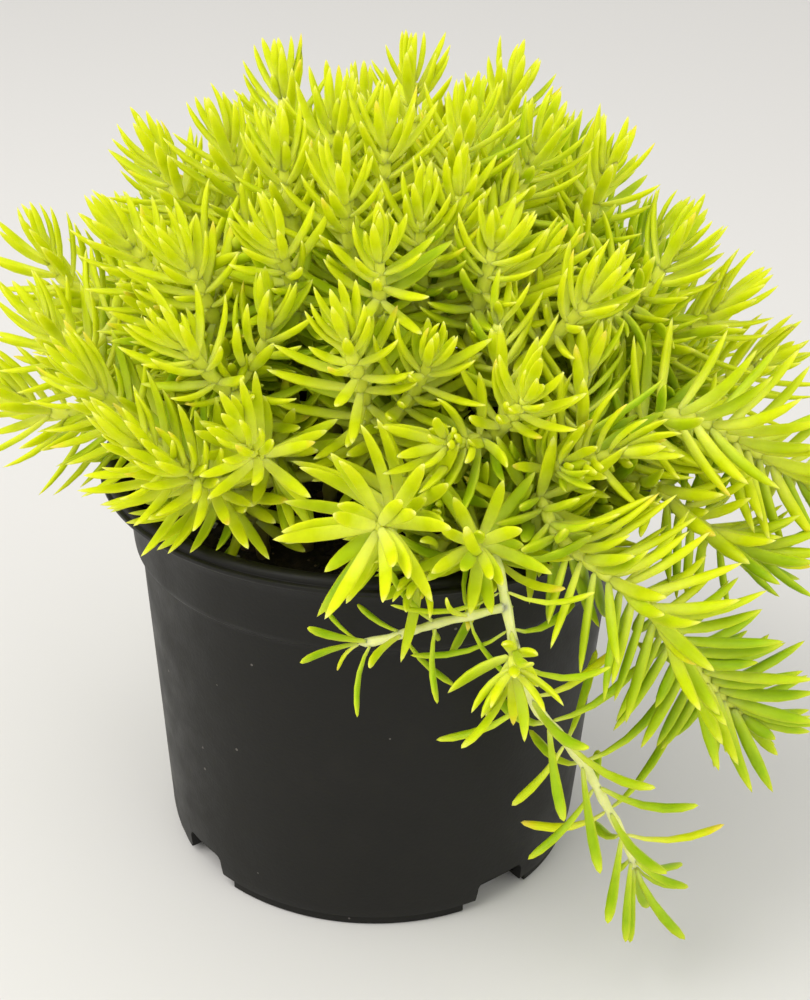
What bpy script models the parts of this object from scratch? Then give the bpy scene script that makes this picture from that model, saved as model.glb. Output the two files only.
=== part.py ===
"""Golden needle-leaved sedum growing in a round black nursery pot.

The pot is one moulding. The soil is one plug inside it, and every leafy stem stands in
its own hole in the soil. Metres, +Z up: the pot's axis is Z and its underside is Z = 0.
Azimuths are in degrees, 0 towards the front (-Y) and positive to the right (+X).
"""

import math
import random

import bmesh
import bpy
import numpy as np
from mathutils import Matrix, Vector

MM = 0.001
GAP = 0.3 * MM

# Pot: a nursery pot of 115 mm across the lip
POT_HEIGHT = 89.0 * MM
LIP_RADIUS = 57.5 * MM
LIP_DROP = 2.6 * MM
LIP_CREST = 1.4 * MM
LIP_SLOPE = 3.0 * MM
LIP_ROUNDING = 0.8 * MM
LIP_TURN = 0.2 * MM
UNDER_LIP = 2.2 * MM
COLLAR_TOP_RADIUS = 53.8 * MM
COLLAR_RADIUS = 51.2 * MM
COLLAR_BOTTOM = 70.6 * MM
COLLAR_STEP = 0.7 * MM
WALL_TOP_RADIUS = 49.9 * MM
WALL_BASE_RADIUS = 45.4 * MM
WALL_THICKNESS = 1.3 * MM
FLOOR_THICKNESS = 1.8 * MM
FOOT_RADIUS = 44.5 * MM
FOOT_HEIGHT = 2.2 * MM
FOOT_EDGE = 0.4 * MM
BASE_ROUNDING = 5.0 * MM
INSIDE_RISE = 3.5 * MM
INSIDE_ROUNDING = 3.0 * MM
POT_SIDES = 36
POT_EDGE_ANGLE = math.radians(35)
DRAIN_AZIMUTHS = (-51, 38, 129, 218)
DRAIN_WIDTH = 12.2 * MM
DRAIN_HEIGHT = 7.2 * MM
FOOT_SLOT_WIDTH = 17.2 * MM
FOOT_SLOT_HEIGHT = 2.6 * MM
DRAIN_INNER_RADIUS = 39.5 * MM

# Soil: its top lies about 11 mm under the rim
SOIL_EDGE_HEIGHT = 77.5 * MM
SOIL_CROWN = 3.0 * MM
SOIL_SIDES = 16
SOIL_BUMP = 0.7 * MM
SOIL_FIT = 0.4 * MM
SOIL_RINGS = (0.4, 0.8)
FINE_LUMP = 3.5 * MM
BROAD_LUMP = 11.0 * MM
BROAD_SHARE = 0.6
HOLE_DEPTH = 6.0 * MM
HOLE_SIDES = 4

# Stems: each stands in the soil and forks part way up to carry two neighbouring heads
TRUNK_RADIUS = 1.5 * MM
TIP_RADIUS = 0.85 * MM
TIP_TAPER = 14 * MM
POINT_SPACING = 19 * MM
TRAILER_POINT_SPACING = 10 * MM
COLLAR_ABOVE_SOIL = 1.5 * MM
LEAVING_SHARE = 0.3
ARRIVING_SHARE = 0.36
PAIR_DISTANCE = 34 * MM
FORK_SHARE = 0.42
ROOT_SPREAD = 42.0 * MM
ROOT_PITCH = 8.6 * MM

# Leaves: flat above and keeled below, widest past the middle, in whorls; the upright stems
# are bare nearer to the dome's centre than BARE_INSIDE
LEAF_LENGTH = 16.5 * MM
LEAF_WIDTH = 2.8 * MM
LEAF_THICKNESS = 1.7 * MM
LEAF_SAG = 0.8 * MM
LEAF_MIDDLE = 0.55
LEAF_ROOT = 0.36
WHORL_SPACING = 5.35 * MM
FIRST_WHORL = 1.2 * MM
HEAD_LEAFY_LENGTH = 20 * MM
TIP_WHORLS = 2
TIP_LEAVES = 3
LOWER_LEAVES = 2
BARE_INSIDE = 56 * MM
NEAREST_SPACING = 0.85
SPACING_GROWTH = 0.06
SEAM_ANGLE = math.radians(1)
GOLDEN_ANGLE = 137.5

# How leaves open and lengthen away from a shoot's tip: the spread at the tip and its gain in
# degrees, the run over which it grows, the share of full length at the tip and its run
HEAD_HABIT = (24, 60, 11 * MM, 0.62, 5 * MM)
TRAILER_HABIT = (30, 48, 7 * MM, 0.86, 6 * MM)

# Room between pieces, which are tested as balls, and what each new trial of a leaf changes
CLEARANCE = 0.3 * MM
STEM_BALL_PITCH = 1.6 * MM
LEAF_BALLS = 9
ROOT_BALLS = 3
LEAF_BALL_SHARE = 0.43
LEAST_BALL = 0.25 * MM
NEARBY = 25 * MM
LEAF_TRIALS = 16
SWING_STEP = 0.06
TILT_STEP = 0.05
SHORTEN_STEP = 0.02

# The dome of foliage is measured from the middle of the pot's mouth
DOME_CENTRE = Vector((0, 0, 88.0 * MM))
DOME_REACH = 71.0
HEAD_ROOM = 21 * MM
SPIRAL_COUNT = 1500
SPIRAL_HIGHEST = 82
SPIRAL_LOWEST = 8
HEAD_LIFT = 0.42
FULL_LIFT_ELEVATION = 30
ROOT_CROWDING = 0.8
EASING_ROUNDS = 200
EASING_STEP = 0.4

# Heads that show in front: azimuth, elevation and reach from the dome's centre in
# degrees and millimetres, then the azimuth and elevation in which the head points
HEADS = (
    (-118, 72, 76, -95, 84),
    (-82, 55, 75, -86, 62),
    (-69, 65, 74, -80, 70),
    (-39, 67, 73, -40, 80),
    (-34, 77, 74, -30, 84),
    (2, 75, 73, 20, 84),
    (-12, 64, 71, -20, 76),
    (-26, 54, 71, -45, 66),
    (-45, 47, 71, -58, 62),
    (0, 54, 70, -10, 68),
    (-89, 32, 78, -90, 76),
    (-73, 27, 74, -85, 60),
    (-37, 36, 70, -60, 54),
    (-6, 42, 68, -25, 64),
    (-54, 25, 71, -64, 52),
    (-40, 20, 69, -60, 50),
    (-21, 24, 66, -25, 52),
    (-33, 18, 65, -42, 42),
    (-76, 14, 75, -80, 44),
    (52, 75, 74, 60, 82),
    (69, 66, 75, 70, 74),
    (84, 56, 76, 88, 78),
    (157, 80, 75, 120, 86),
    (30, 55, 70, 30, 70),
    (45, 43, 72, 50, 66),
    (26, 31, 68, 12, 46),
    (78, 41, 75, 84, 62),
    (84, 29, 76, 84, 52),
    (88, 17, 80, 90, 38),
    (42, 20, 69, 62, 24),
    (28, 65, 69, 20, 78),
    (13, 62, 67, 8, 74),
    (33, 20, 64, 22, 34),
    (11, 40, 62, 6, 56),
    (115, 70, 77, 110, 80),
    (1, 14, 66, -2, 33),
    (-62, 45, 74, -74, 56),
)

# Long stems that hang over the lip or run out sideways. Each shoot gives its bare length,
# the length and spacing of its leaves, its radius, and points along it, in millimetres;
# a stem's later shoots fork from its first
TRAILERS = (
    ("stem_long_front", (
        (26, 19.5, 7.0, 1.3, (
            (20, -41, 78), (20, -50, 93), (22, -58, 94), (24, -63, 87), (26, -65, 79),
            (29, -66, 71), (33, -65, 65), (37, -63, 59), (41, -61, 52), (45, -60, 44),
            (49, -59, 36), (52, -58, 28))),
        (10, 13.5, 6.4, 1.0, (
            (24, -62, 88), (18, -64, 87), (12, -62, 84), (5, -60, 80), (-1, -58, 77),
            (-4, -57, 76))),
        (1, 10, 3.4, 0.9, (
            (25, -64, 82), (25, -68, 82), (25, -72, 80))))),
    ("stem_thick_right", (
        (20, 18, 5.2, 1.6, (
            (27, -34, 78), (29, -44, 100), (33, -53, 97), (41, -57, 92), (48, -58, 87),
            (54, -58, 80), (60, -57, 72), (66, -55, 65), (70, -54, 61))),)),
    ("stem_side_right", (
        (26, 18, 6.6, 1.5, (
            (36, -20, 78), (42, -28, 100), (52, -33, 112), (60, -33, 111),
            (67, -31, 107), (74, -29, 102), (81, -27, 98), (87, -25, 95))),)),
    ("stem_low_right", (
        (22, 16, 5.4, 1.4, (
            (34, -25, 78), (43, -31, 97), (51, -34, 99), (58, -36, 94), (66, -37, 89),
            (72, -37, 87))),)),
)

LEAF_GREEN = (0.62, 0.74, 0.16)
POT_BLACK = (0.021, 0.020, 0.019)
SOIL_BROWN = (0.035, 0.024, 0.017)


def around(azimuth):
    """The level direction of an azimuth."""
    angle = math.radians(azimuth)
    return Vector((math.sin(angle), -math.cos(angle), 0))


def pointing(azimuth, elevation):
    """The direction of an azimuth raised by an elevation."""
    rise = math.radians(elevation)
    return around(azimuth) * math.cos(rise) + Vector((0, 0, math.sin(rise)))


def empty_scene():
    """Start from nothing."""
    for thing in list(bpy.data.objects):
        bpy.data.objects.remove(thing, do_unlink=True)


def collection(name):
    """A new collection in the scene."""
    group = bpy.data.collections.new(name)
    bpy.context.scene.collection.children.link(group)
    return group


def material(name, colour, roughness):
    """A plain finish."""
    finish = bpy.data.materials.new(name)
    finish.use_nodes = True
    shader = finish.node_tree.nodes["Principled BSDF"]
    shader.inputs["Base Color"].default_value = (*colour, 1)
    shader.inputs["Roughness"].default_value = roughness
    shader.inputs["Metallic"].default_value = 0
    return finish


def mesh_object(name, form, group, finish=None):
    """A new object that holds a bmesh."""
    mesh = bpy.data.meshes.new(name)
    form.to_mesh(mesh)
    form.free()
    thing = bpy.data.objects.new(name, mesh)
    group.objects.link(thing)
    if finish:
        mesh.materials.append(finish)
    return thing


def evaluated_mesh(thing):
    """A copy of an object's mesh with its modifiers in it."""
    view = bpy.context.evaluated_depsgraph_get()
    return bpy.data.meshes.new_from_object(thing.evaluated_get(view))


def apply_modifiers(thing):
    """Put an object's modifiers into its mesh."""
    mesh = evaluated_mesh(thing)
    thing.modifiers.clear()
    thing.data = mesh


def turned(name, profile, sides, group, finish):
    """A turned piece: the profile runs from the axis, up the inside, over and down."""
    form = bmesh.new()
    points = [form.verts.new((radius, 0, height)) for radius, height in profile]
    for lower, upper in zip(points, points[1:]):
        form.edges.new((lower, upper))
    thing = mesh_object(name, form, group, finish)
    screw = thing.modifiers.new("turn", "SCREW")
    screw.steps = sides
    screw.render_steps = sides
    screw.use_merge_vertices = True
    screw.merge_threshold = 0.0001
    apply_modifiers(thing)
    return thing


def combine(thing, operation, others):
    """Join a collection to a piece, or cut it out of the piece."""
    boolean = thing.modifiers.new("combine", "BOOLEAN")
    boolean.operation = operation
    boolean.operand_type = "COLLECTION"
    boolean.collection = others
    boolean.solver = "EXACT"
    apply_modifiers(thing)


def cut(thing, cutters):
    """Take the cutters out of a piece and keep them as wire guides."""
    combine(thing, "DIFFERENCE", cutters)
    for cutter in cutters.objects:
        cutter.hide_render = True
        cutter.display_type = "WIRE"


def outer_wall_radius(height):
    """The pot's outer radius at a height on its plain wall."""
    share = height / COLLAR_BOTTOM
    return WALL_BASE_RADIUS + (WALL_TOP_RADIUS - WALL_BASE_RADIUS) * share


def pot_profile():
    """The pot's wall from the middle of its floor, up the inside, over the lip and down."""
    inner_base = WALL_BASE_RADIUS - WALL_THICKNESS
    lip_bottom = POT_HEIGHT - LIP_DROP
    return [
        (0, FLOOR_THICKNESS),
        (inner_base - INSIDE_ROUNDING, FLOOR_THICKNESS),
        (inner_base, FLOOR_THICKNESS + INSIDE_RISE),
        (WALL_TOP_RADIUS - WALL_THICKNESS, COLLAR_BOTTOM),
        (COLLAR_TOP_RADIUS - WALL_THICKNESS, lip_bottom),
        (LIP_RADIUS - LIP_SLOPE, POT_HEIGHT - LIP_TURN),
        (LIP_RADIUS - LIP_CREST, POT_HEIGHT),
        (LIP_RADIUS, POT_HEIGHT - LIP_ROUNDING),
        (LIP_RADIUS - LIP_TURN, lip_bottom),
        (COLLAR_TOP_RADIUS, lip_bottom - UNDER_LIP),
        (COLLAR_RADIUS, COLLAR_BOTTOM + COLLAR_STEP),
        (WALL_TOP_RADIUS, COLLAR_BOTTOM - COLLAR_STEP),
        (outer_wall_radius(BASE_ROUNDING), BASE_ROUNDING),
        (WALL_BASE_RADIUS - FOOT_EDGE, FOOT_HEIGHT),
        (FOOT_RADIUS, FOOT_HEIGHT),
        (FOOT_RADIUS, 0),
        (0, 0),
    ]


def make_pot(group, cutters, finish):
    """The pot: tapered wall, collar, flared lip, stepped foot and four stepped drain slots."""
    pot = turned("pot", pot_profile(), POT_SIDES, group, finish)
    depth = LIP_RADIUS - DRAIN_INNER_RADIUS
    steps = ((DRAIN_WIDTH, DRAIN_HEIGHT), (FOOT_SLOT_WIDTH, FOOT_SLOT_HEIGHT))
    for azimuth in DRAIN_AZIMUTHS:
        for width, height in steps:
            form = bmesh.new()
            bmesh.ops.create_cube(form, size=1)
            bmesh.ops.scale(form, vec=(width, depth, 2 * height), verts=form.verts)
            drain = mesh_object("drain_cutter", form, cutters)
            drain.location = around(azimuth) * (DRAIN_INNER_RADIUS + depth / 2)
            drain.rotation_euler.z = math.radians(azimuth)
    cut(pot, cutters)
    pot.data.shade_smooth()
    pot.data.set_sharp_from_angle(angle=POT_EDGE_ANGLE)


def soil_height(x, y):
    """Height of the soil's lumpy, slightly crowned top."""
    share = min(math.hypot(x, y) / ROOT_SPREAD, 1)
    fine_lumps = math.sin(x / FINE_LUMP + 1) * math.cos(y / FINE_LUMP)
    broad_lumps = math.sin((x - 2 * y) / BROAD_LUMP)
    lumps = fine_lumps + BROAD_SHARE * broad_lumps
    return SOIL_EDGE_HEIGHT + SOIL_CROWN * (1 - share ** 2) + SOIL_BUMP * lumps


def soil_profile():
    """The soil plug, a gap inside the pot, from its top down its side to its base."""
    shoulder = WALL_TOP_RADIUS - WALL_THICKNESS - GAP
    base = WALL_BASE_RADIUS - WALL_THICKNESS - GAP
    collar_slope = (COLLAR_TOP_RADIUS - WALL_TOP_RADIUS) / (
        POT_HEIGHT - LIP_DROP - COLLAR_BOTTOM)
    rise = SOIL_EDGE_HEIGHT - COLLAR_BOTTOM
    return [
        (0, SOIL_EDGE_HEIGHT),
        (ROOT_SPREAD * SOIL_RINGS[0], SOIL_EDGE_HEIGHT),
        (ROOT_SPREAD * SOIL_RINGS[1], SOIL_EDGE_HEIGHT),
        (shoulder + rise * collar_slope - SOIL_FIT, SOIL_EDGE_HEIGHT),
        (shoulder - SOIL_FIT / 2, COLLAR_BOTTOM),
        (base - SOIL_FIT, FLOOR_THICKNESS + INSIDE_RISE + GAP),
        (base - INSIDE_ROUNDING - SOIL_FIT, FLOOR_THICKNESS + GAP),
        (0, FLOOR_THICKNESS + GAP),
    ]


def make_soil(group, cutters, stems, finish):
    """The soil: a plug that follows the inside of the pot, with a hole for each stem."""
    soil = turned("soil", soil_profile(), SOIL_SIDES, group, finish)
    for vertex in soil.data.vertices:
        if vertex.co.z > SOIL_EDGE_HEIGHT - GAP:
            vertex.co.z = soil_height(vertex.co.x, vertex.co.y)
    hole_radius = (TRUNK_RADIUS + GAP) / math.cos(math.pi / HOLE_SIDES)
    for stem in stems:
        form = bmesh.new()
        bmesh.ops.create_cone(form, cap_ends=True, segments=HOLE_SIDES,
                              radius1=hole_radius, radius2=hole_radius,
                              depth=2 * HOLE_DEPTH)
        hole = mesh_object("hole_cutter", form, cutters)
        root = stem.shoots[0].points[0]
        hole.location = (root.x, root.y, soil_height(root.x, root.y))
    cut(soil, cutters)


def bezier(ends, share):
    """A point along a cubic curve."""
    start, leave, arrive, end = ends
    rest = 1 - share
    return (start * rest ** 3 + leave * 3 * rest ** 2 * share
            + arrive * 3 * rest * share ** 2 + end * share ** 3)


def smooth_through(points, share):
    """A point along a smooth curve through all the given points."""
    spans = len(points) - 1
    place = min(share * spans, spans - 1e-6)
    index = int(place)
    local = place - index
    before = points[max(index - 1, 0)]
    here = points[index]
    there = points[index + 1]
    after = points[min(index + 2, spans)]
    return (here + (there - before) * (0.5 * local)
            + (before * 2 - here * 5 + there * 4 - after) * (0.5 * local ** 2)
            + (here * 3 - there * 3 + after - before) * (0.5 * local ** 3))


class Shoot:
    """One unforked length of stem with a leafy end."""

    def __init__(self, course, ends, point_spacing, foot=None):
        fine = [course(ends, step / 60) for step in range(61)]
        run = sum((b - a).length for a, b in zip(fine, fine[1:]))
        spans = max(2, round(run / point_spacing))
        self.points = [course(ends, step / spans) for step in range(spans + 1)]
        if foot:
            self.points.insert(0, foot)
        runs = [(b - a).length for a, b in zip(self.points, self.points[1:])]
        self.lengths = np.concatenate(([0], np.cumsum(runs)))
        self.length = float(self.lengths[-1])
        self.base_radius = TRUNK_RADIUS
        self.leafy = HEAD_LEAFY_LENGTH
        self.leaf_length = LEAF_LENGTH
        self.spacing = WHORL_SPACING
        self.trails = False
        self.sides = self.carried_sides()

    def carried_sides(self):
        """A sideways direction on each straight, carried along without twisting."""
        sides = []
        side = Vector((0.6, 0.8, 0))
        for a, b in zip(self.points, self.points[1:]):
            along = (b - a).normalized()
            side = (side - along * side.dot(along)).normalized()
            sides.append(side)
        return sides

    def at(self, distance):
        """Point, direction and side at a distance along the shoot."""
        distance = min(max(distance, 0), self.length)
        index = int(np.searchsorted(self.lengths, distance, side="right")) - 1
        index = min(index, len(self.sides) - 1)
        a, b = self.points[index], self.points[index + 1]
        share = (distance - self.lengths[index]) / (b - a).length
        return a.lerp(b, share), (b - a).normalized(), self.sides[index]

    def radius(self, distance):
        """A shoot thins out towards its tip."""
        share = min((self.length - distance) / TIP_TAPER, 1)
        return TIP_RADIUS + (self.base_radius - TIP_RADIUS) * share

    def nearest(self, point):
        """The distance along the shoot at which it passes nearest to a point."""
        places = np.linspace(0, self.length, 200)
        return min(places, key=lambda place: (self.at(place)[0] - point).length)


class Stem:
    """A rooted stem: its trunk shoot, and the shoots that fork from it."""

    def __init__(self, name, shoots):
        self.name = name
        self.shoots = shoots


def head_spot(head):
    """Where a head is."""
    azimuth, elevation, reach, _, _ = head
    return DOME_CENTRE + pointing(azimuth, elevation) * (reach * MM)


def head_places():
    """The heads in front, then more on a golden-angle spiral wherever the dome is bare."""
    heads = list(HEADS)
    spots = [head_spot(head) for head in heads]
    for _, shoots in TRAILERS:
        spots += [Vector(point) * MM for point in shoots[0][4][2:]]
    lowest = math.sin(math.radians(SPIRAL_LOWEST))
    highest = math.sin(math.radians(SPIRAL_HIGHEST))
    for number in range(SPIRAL_COUNT):
        rise = highest - (highest - lowest) * (number + 0.5) / SPIRAL_COUNT
        elevation = math.degrees(math.asin(rise))
        azimuth = (number * GOLDEN_ANGLE) % 360
        lift_share = HEAD_LIFT * min(elevation / FULL_LIFT_ELEVATION, 1)
        lift = elevation + lift_share * (90 - elevation)
        head = (azimuth, elevation, DOME_REACH, azimuth, lift)
        spot = head_spot(head)
        if min((spot - other).length for other in spots) > HEAD_ROOM:
            heads.append(head)
            spots.append(spot)
    return heads


def paired_heads(heads):
    """Join each head with its nearest free neighbour; the rest stand alone."""
    spots = [head_spot(head) for head in heads]
    pairs = []
    for first in range(len(heads)):
        for second in range(first + 1, len(heads)):
            distance = (spots[first] - spots[second]).length
            if distance < PAIR_DISTANCE:
                pairs.append((distance, first, second))
    taken = set()
    groups = []
    for _, first, second in sorted(pairs):
        if first not in taken and second not in taken:
            taken.update((first, second))
            high_first = spots[first].z >= spots[second].z
            order = (first, second) if high_first else (second, first)
            groups.append([heads[index] for index in order])
    for index, head in enumerate(heads):
        if index not in taken:
            groups.append([head])
    return groups


def root_places(groups):
    """Where each stem leaves the soil: under its heads, then eased apart."""
    places = []
    for group in groups:
        flats = []
        for azimuth, elevation, _, _, _ in group:
            share = (1 - elevation / 90) ** ROOT_CROWDING
            flats.append(np.array(around(azimuth)[:2]) * ROOT_SPREAD * share)
        places.append(sum(flats) / len(flats))
    fixed = [np.array(shoots[0][4][0][:2]) * MM for _, shoots in TRAILERS]
    for _ in range(EASING_ROUNDS):
        for index, place in enumerate(places):
            push = np.zeros(2)
            for other_index, other in enumerate(places + fixed):
                apart = place - other
                distance = float(np.hypot(*apart))
                if other_index != index and distance < ROOT_PITCH:
                    excess = (ROOT_PITCH - distance) / max(distance, 1e-6)
                    push += apart * excess * EASING_STEP
            place = place + push
            reach = float(np.hypot(*place))
            places[index] = place * min(1, ROOT_SPREAD / max(reach, 1e-6))
    return places


def foot_and_collar(x, y):
    """A stem's lowest point in its hole, and the point where it clears the soil."""
    top = soil_height(x, y)
    foot = Vector((x, y, top - HOLE_DEPTH + GAP))
    return foot, Vector((x, y, top + COLLAR_ABOVE_SOIL))


def trailing_stems():
    """The long stems, along the points chosen for each."""
    stems = []
    for name, plans in TRAILERS:
        shoots = []
        for bare, leaf_length, spacing, radius, way in plans:
            points = [Vector(point) * MM for point in way]
            foot = None
            if shoots:
                points[0] = shoots[0].at(shoots[0].nearest(points[0]))[0]
            else:
                foot, points[0] = foot_and_collar(points[0].x, points[0].y)
            shoot = Shoot(smooth_through, points, TRAILER_POINT_SPACING, foot)
            shoot.base_radius = radius * MM
            shoot.leafy = shoot.length - bare * MM
            shoot.leaf_length = leaf_length * MM
            shoot.spacing = spacing * MM
            shoot.trails = True
            shoots.append(shoot)
        stems.append(Stem(name, shoots))
    return stems


def upright_stems():
    """The stems under the dome, most of them forked."""
    stems = []
    groups = paired_heads(head_places())
    for number, (group, root) in enumerate(zip(groups, root_places(groups)), 1):
        shoots = []
        for head in group:
            tip = head_spot(head)
            if shoots:
                foot = None
                start, along, _ = shoots[0].at(shoots[0].length * FORK_SHARE)
                leave = start + along * ((tip - start).length * LEAVING_SHARE)
            else:
                foot, start = foot_and_collar(*root)
                leave = start + Vector((0, 0, (tip - start).length * LEAVING_SHARE))
            arrive = tip - pointing(*head[3:]) * ((tip - start).length * ARRIVING_SHARE)
            ends = (start, leave, arrive, tip)
            shoots.append(Shoot(bezier, ends, POINT_SPACING, foot))
        stems.append(Stem(f"stem_{number:02d}", shoots))
    return stems


class Crowd:
    """Balls along every piece placed so far, to keep new leaves clear of them."""

    def __init__(self):
        self.centres = np.zeros((0, 3))
        self.radii = np.zeros(0)
        self.owners = np.zeros(0, dtype=int)

    def add(self, owner, centres, radii):
        """Add one piece's balls."""
        self.centres = np.vstack((self.centres, centres))
        self.radii = np.concatenate((self.radii, radii))
        self.owners = np.concatenate((self.owners, np.full(len(radii), owner)))

    def room(self, centres, radii, but=None):
        """The least distance from these balls to all others, or to other owners' alone."""
        near = np.abs(self.centres - centres.mean(axis=0)).max(axis=1) < NEARBY
        if but is not None:
            near &= self.owners != but
        if not near.any():
            return 1.0
        apart = np.linalg.norm(centres[:, None, :] - self.centres[None, near, :], axis=2)
        return float((apart - radii[:, None] - self.radii[None, near]).min())


def clear_of_pot(centres, radii):
    """Whether balls stay off the pot, the soil and the ground."""
    for (x, y, z), radius in zip(centres, radii):
        out = math.hypot(x, y)
        reach = radius + CLEARANCE
        if z < FOOT_HEIGHT + reach:
            return False
        if z > POT_HEIGHT + reach or out > LIP_RADIUS + reach:
            continue
        inside = out < COLLAR_TOP_RADIUS - WALL_THICKNESS - reach
        under_lip = z < POT_HEIGHT - LIP_DROP - UNDER_LIP - reach
        if inside and z < SOIL_EDGE_HEIGHT + SOIL_CROWN + reach:
            return False
        if not inside and not (under_lip and out > COLLAR_TOP_RADIUS + reach):
            return False
    return True


def leaf_balls(matrix, length):
    """Balls along a leaf whose place is a matrix."""
    centres = []
    radii = []
    for share in np.linspace(0.1, 1, LEAF_BALLS):
        if share < LEAF_MIDDLE:
            part = share / LEAF_MIDDLE
            girth = LEAF_ROOT + (1 - LEAF_ROOT) * part
        else:
            part = (1 - share) / (1 - LEAF_MIDDLE)
            girth = part
        centres.append(matrix @ Vector((share * length, 0, -LEAF_SAG * part)))
        radii.append(max(girth * LEAF_WIDTH * LEAF_BALL_SHARE, LEAST_BALL))
    return np.array(centres), np.array(radii)


def leaf_frame(point, along, side, turn, spread):
    """A leaf's place: X out along the leaf, Z on the side of the stem's tip."""
    side = Matrix.Rotation(turn, 3, along) @ side
    out = along * math.cos(spread) + side * math.sin(spread)
    across = along.cross(side)
    upper = out.cross(across)
    frame = Matrix((out, across, upper)).transposed()
    return Matrix.Translation(point) @ frame.to_4x4()


def leaf_habit(shoot, from_tip):
    """Spread and length of a leaf by its distance from the shoot's tip."""
    habit = TRAILER_HABIT if shoot.trails else HEAD_HABIT
    tip_spread, gain, spread_run, tip_share, length_run = habit
    spread = tip_spread + gain * (1 - math.exp(-from_tip / spread_run))
    share = tip_share + (1 - tip_share) * (1 - math.exp(-from_tip / length_run))
    return math.radians(spread), shoot.leaf_length * share


def whorls(shoot, chance):
    """Each leaf's place along and around a shoot, from the tip down."""
    from_tip = FIRST_WHORL
    start = chance.uniform(0, 360)
    number = 0
    while from_tip < shoot.leafy:
        full = shoot.trails or number < TIP_WHORLS
        members = TIP_LEAVES if full else LOWER_LEAVES
        for member in range(members):
            turn = start + number * GOLDEN_ANGLE + 360 * member / members
            yield from_tip, math.radians(turn)
        opening = 1 if shoot.trails else NEAREST_SPACING + SPACING_GROWTH * number
        from_tip += shoot.spacing * opening
        number += 1


def place_leaf(root, habit, turn, owner, crowd, chance):
    """One leaf, swung, tilted or shortened a little more each time until it is clear."""
    point, along, side = root
    spread, length = habit
    for trial in range(LEAF_TRIALS):
        swing = chance.uniform(-1, 1) * SWING_STEP * trial
        tilt = chance.uniform(-1, 1) * TILT_STEP * trial
        size = length * (1 - SHORTEN_STEP * trial)
        frame = leaf_frame(point, along, side, turn + swing, spread + tilt)
        centres, radii = leaf_balls(frame, size)
        clear_of_others = crowd.room(centres, radii, but=owner) >= CLEARANCE
        clear_of_own = crowd.room(centres[ROOT_BALLS:], radii[ROOT_BALLS:]) >= 0
        if clear_of_others and clear_of_own and clear_of_pot(centres, radii):
            crowd.add(owner, centres, radii)
            return frame, size
    return None


def place_leaves(stem, owner, crowd, chance):
    """All of a stem's leaves; one that finds no room is left out."""
    leaves = []
    for shoot in stem.shoots:
        for from_tip, turn in whorls(shoot, chance):
            root = shoot.at(shoot.length - from_tip)
            if not shoot.trails and (root[0] - DOME_CENTRE).length < BARE_INSIDE:
                continue
            habit = leaf_habit(shoot, from_tip)
            leaf = place_leaf(root, habit, turn, owner, crowd, chance)
            if leaf:
                leaves.append(leaf)
    return leaves


def leaf_shape():
    """A unit leaf along X: a three-sided needle, flat above, keeled below, tip at 1."""
    form = bmesh.new()
    bmesh.ops.create_cone(form, cap_ends=True, segments=3, radius1=0.5, radius2=0,
                          depth=1 - LEAF_MIDDLE)
    bmesh.ops.translate(form, vec=(0, 0, (1 + LEAF_MIDDLE) / 2), verts=form.verts)
    cap = min(form.faces, key=lambda face: face.calc_center_median().z)
    middle = list(cap.verts)
    grown = bmesh.ops.extrude_face_region(form, geom=[cap])
    root = [item for item in grown["geom"] if isinstance(item, bmesh.types.BMVert)]
    bmesh.ops.delete(form, geom=[cap], context="FACES_ONLY")
    bmesh.ops.translate(form, vec=(0, 0, -LEAF_MIDDLE), verts=root)
    bmesh.ops.scale(form, vec=(LEAF_ROOT, LEAF_ROOT, 1), verts=root)
    bmesh.ops.translate(form, vec=(0, LEAF_SAG / LEAF_THICKNESS, 0), verts=middle)
    bmesh.ops.recalc_face_normals(form, faces=form.faces)
    lay_along_x = Matrix(((0, 0, 1), (-1, 0, 0), (0, -1, 0)))
    bmesh.ops.transform(form, matrix=lay_along_x.to_4x4(), verts=form.verts)
    mesh = bpy.data.meshes.new("leaf")
    form.to_mesh(mesh)
    form.free()
    return mesh


def shoot_tube(name, shoot):
    """A shoot as a closed tube mesh, made from a bevelled curve."""
    curve = bpy.data.curves.new(name, "CURVE")
    curve.dimensions = "3D"
    curve.bevel_depth = 1
    curve.bevel_resolution = 0
    curve.use_fill_caps = True
    spline = curve.splines.new("POLY")
    spline.points.add(len(shoot.points) - 1)
    for knot, point, distance in zip(spline.points, shoot.points, shoot.lengths):
        knot.co = (*point, 1)
        knot.radius = shoot.radius(distance)
    wire = bpy.data.objects.new(name, curve)
    bpy.context.scene.collection.objects.link(wire)
    mesh = evaluated_mesh(wire)
    bpy.data.objects.remove(wire)
    form = bmesh.new()
    form.from_mesh(mesh)
    bmesh.ops.remove_doubles(form, verts=form.verts, dist=0.00001)
    bmesh.ops.recalc_face_normals(form, faces=form.faces)
    form.to_mesh(mesh)
    form.free()
    mesh.materials.clear()
    return mesh


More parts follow.
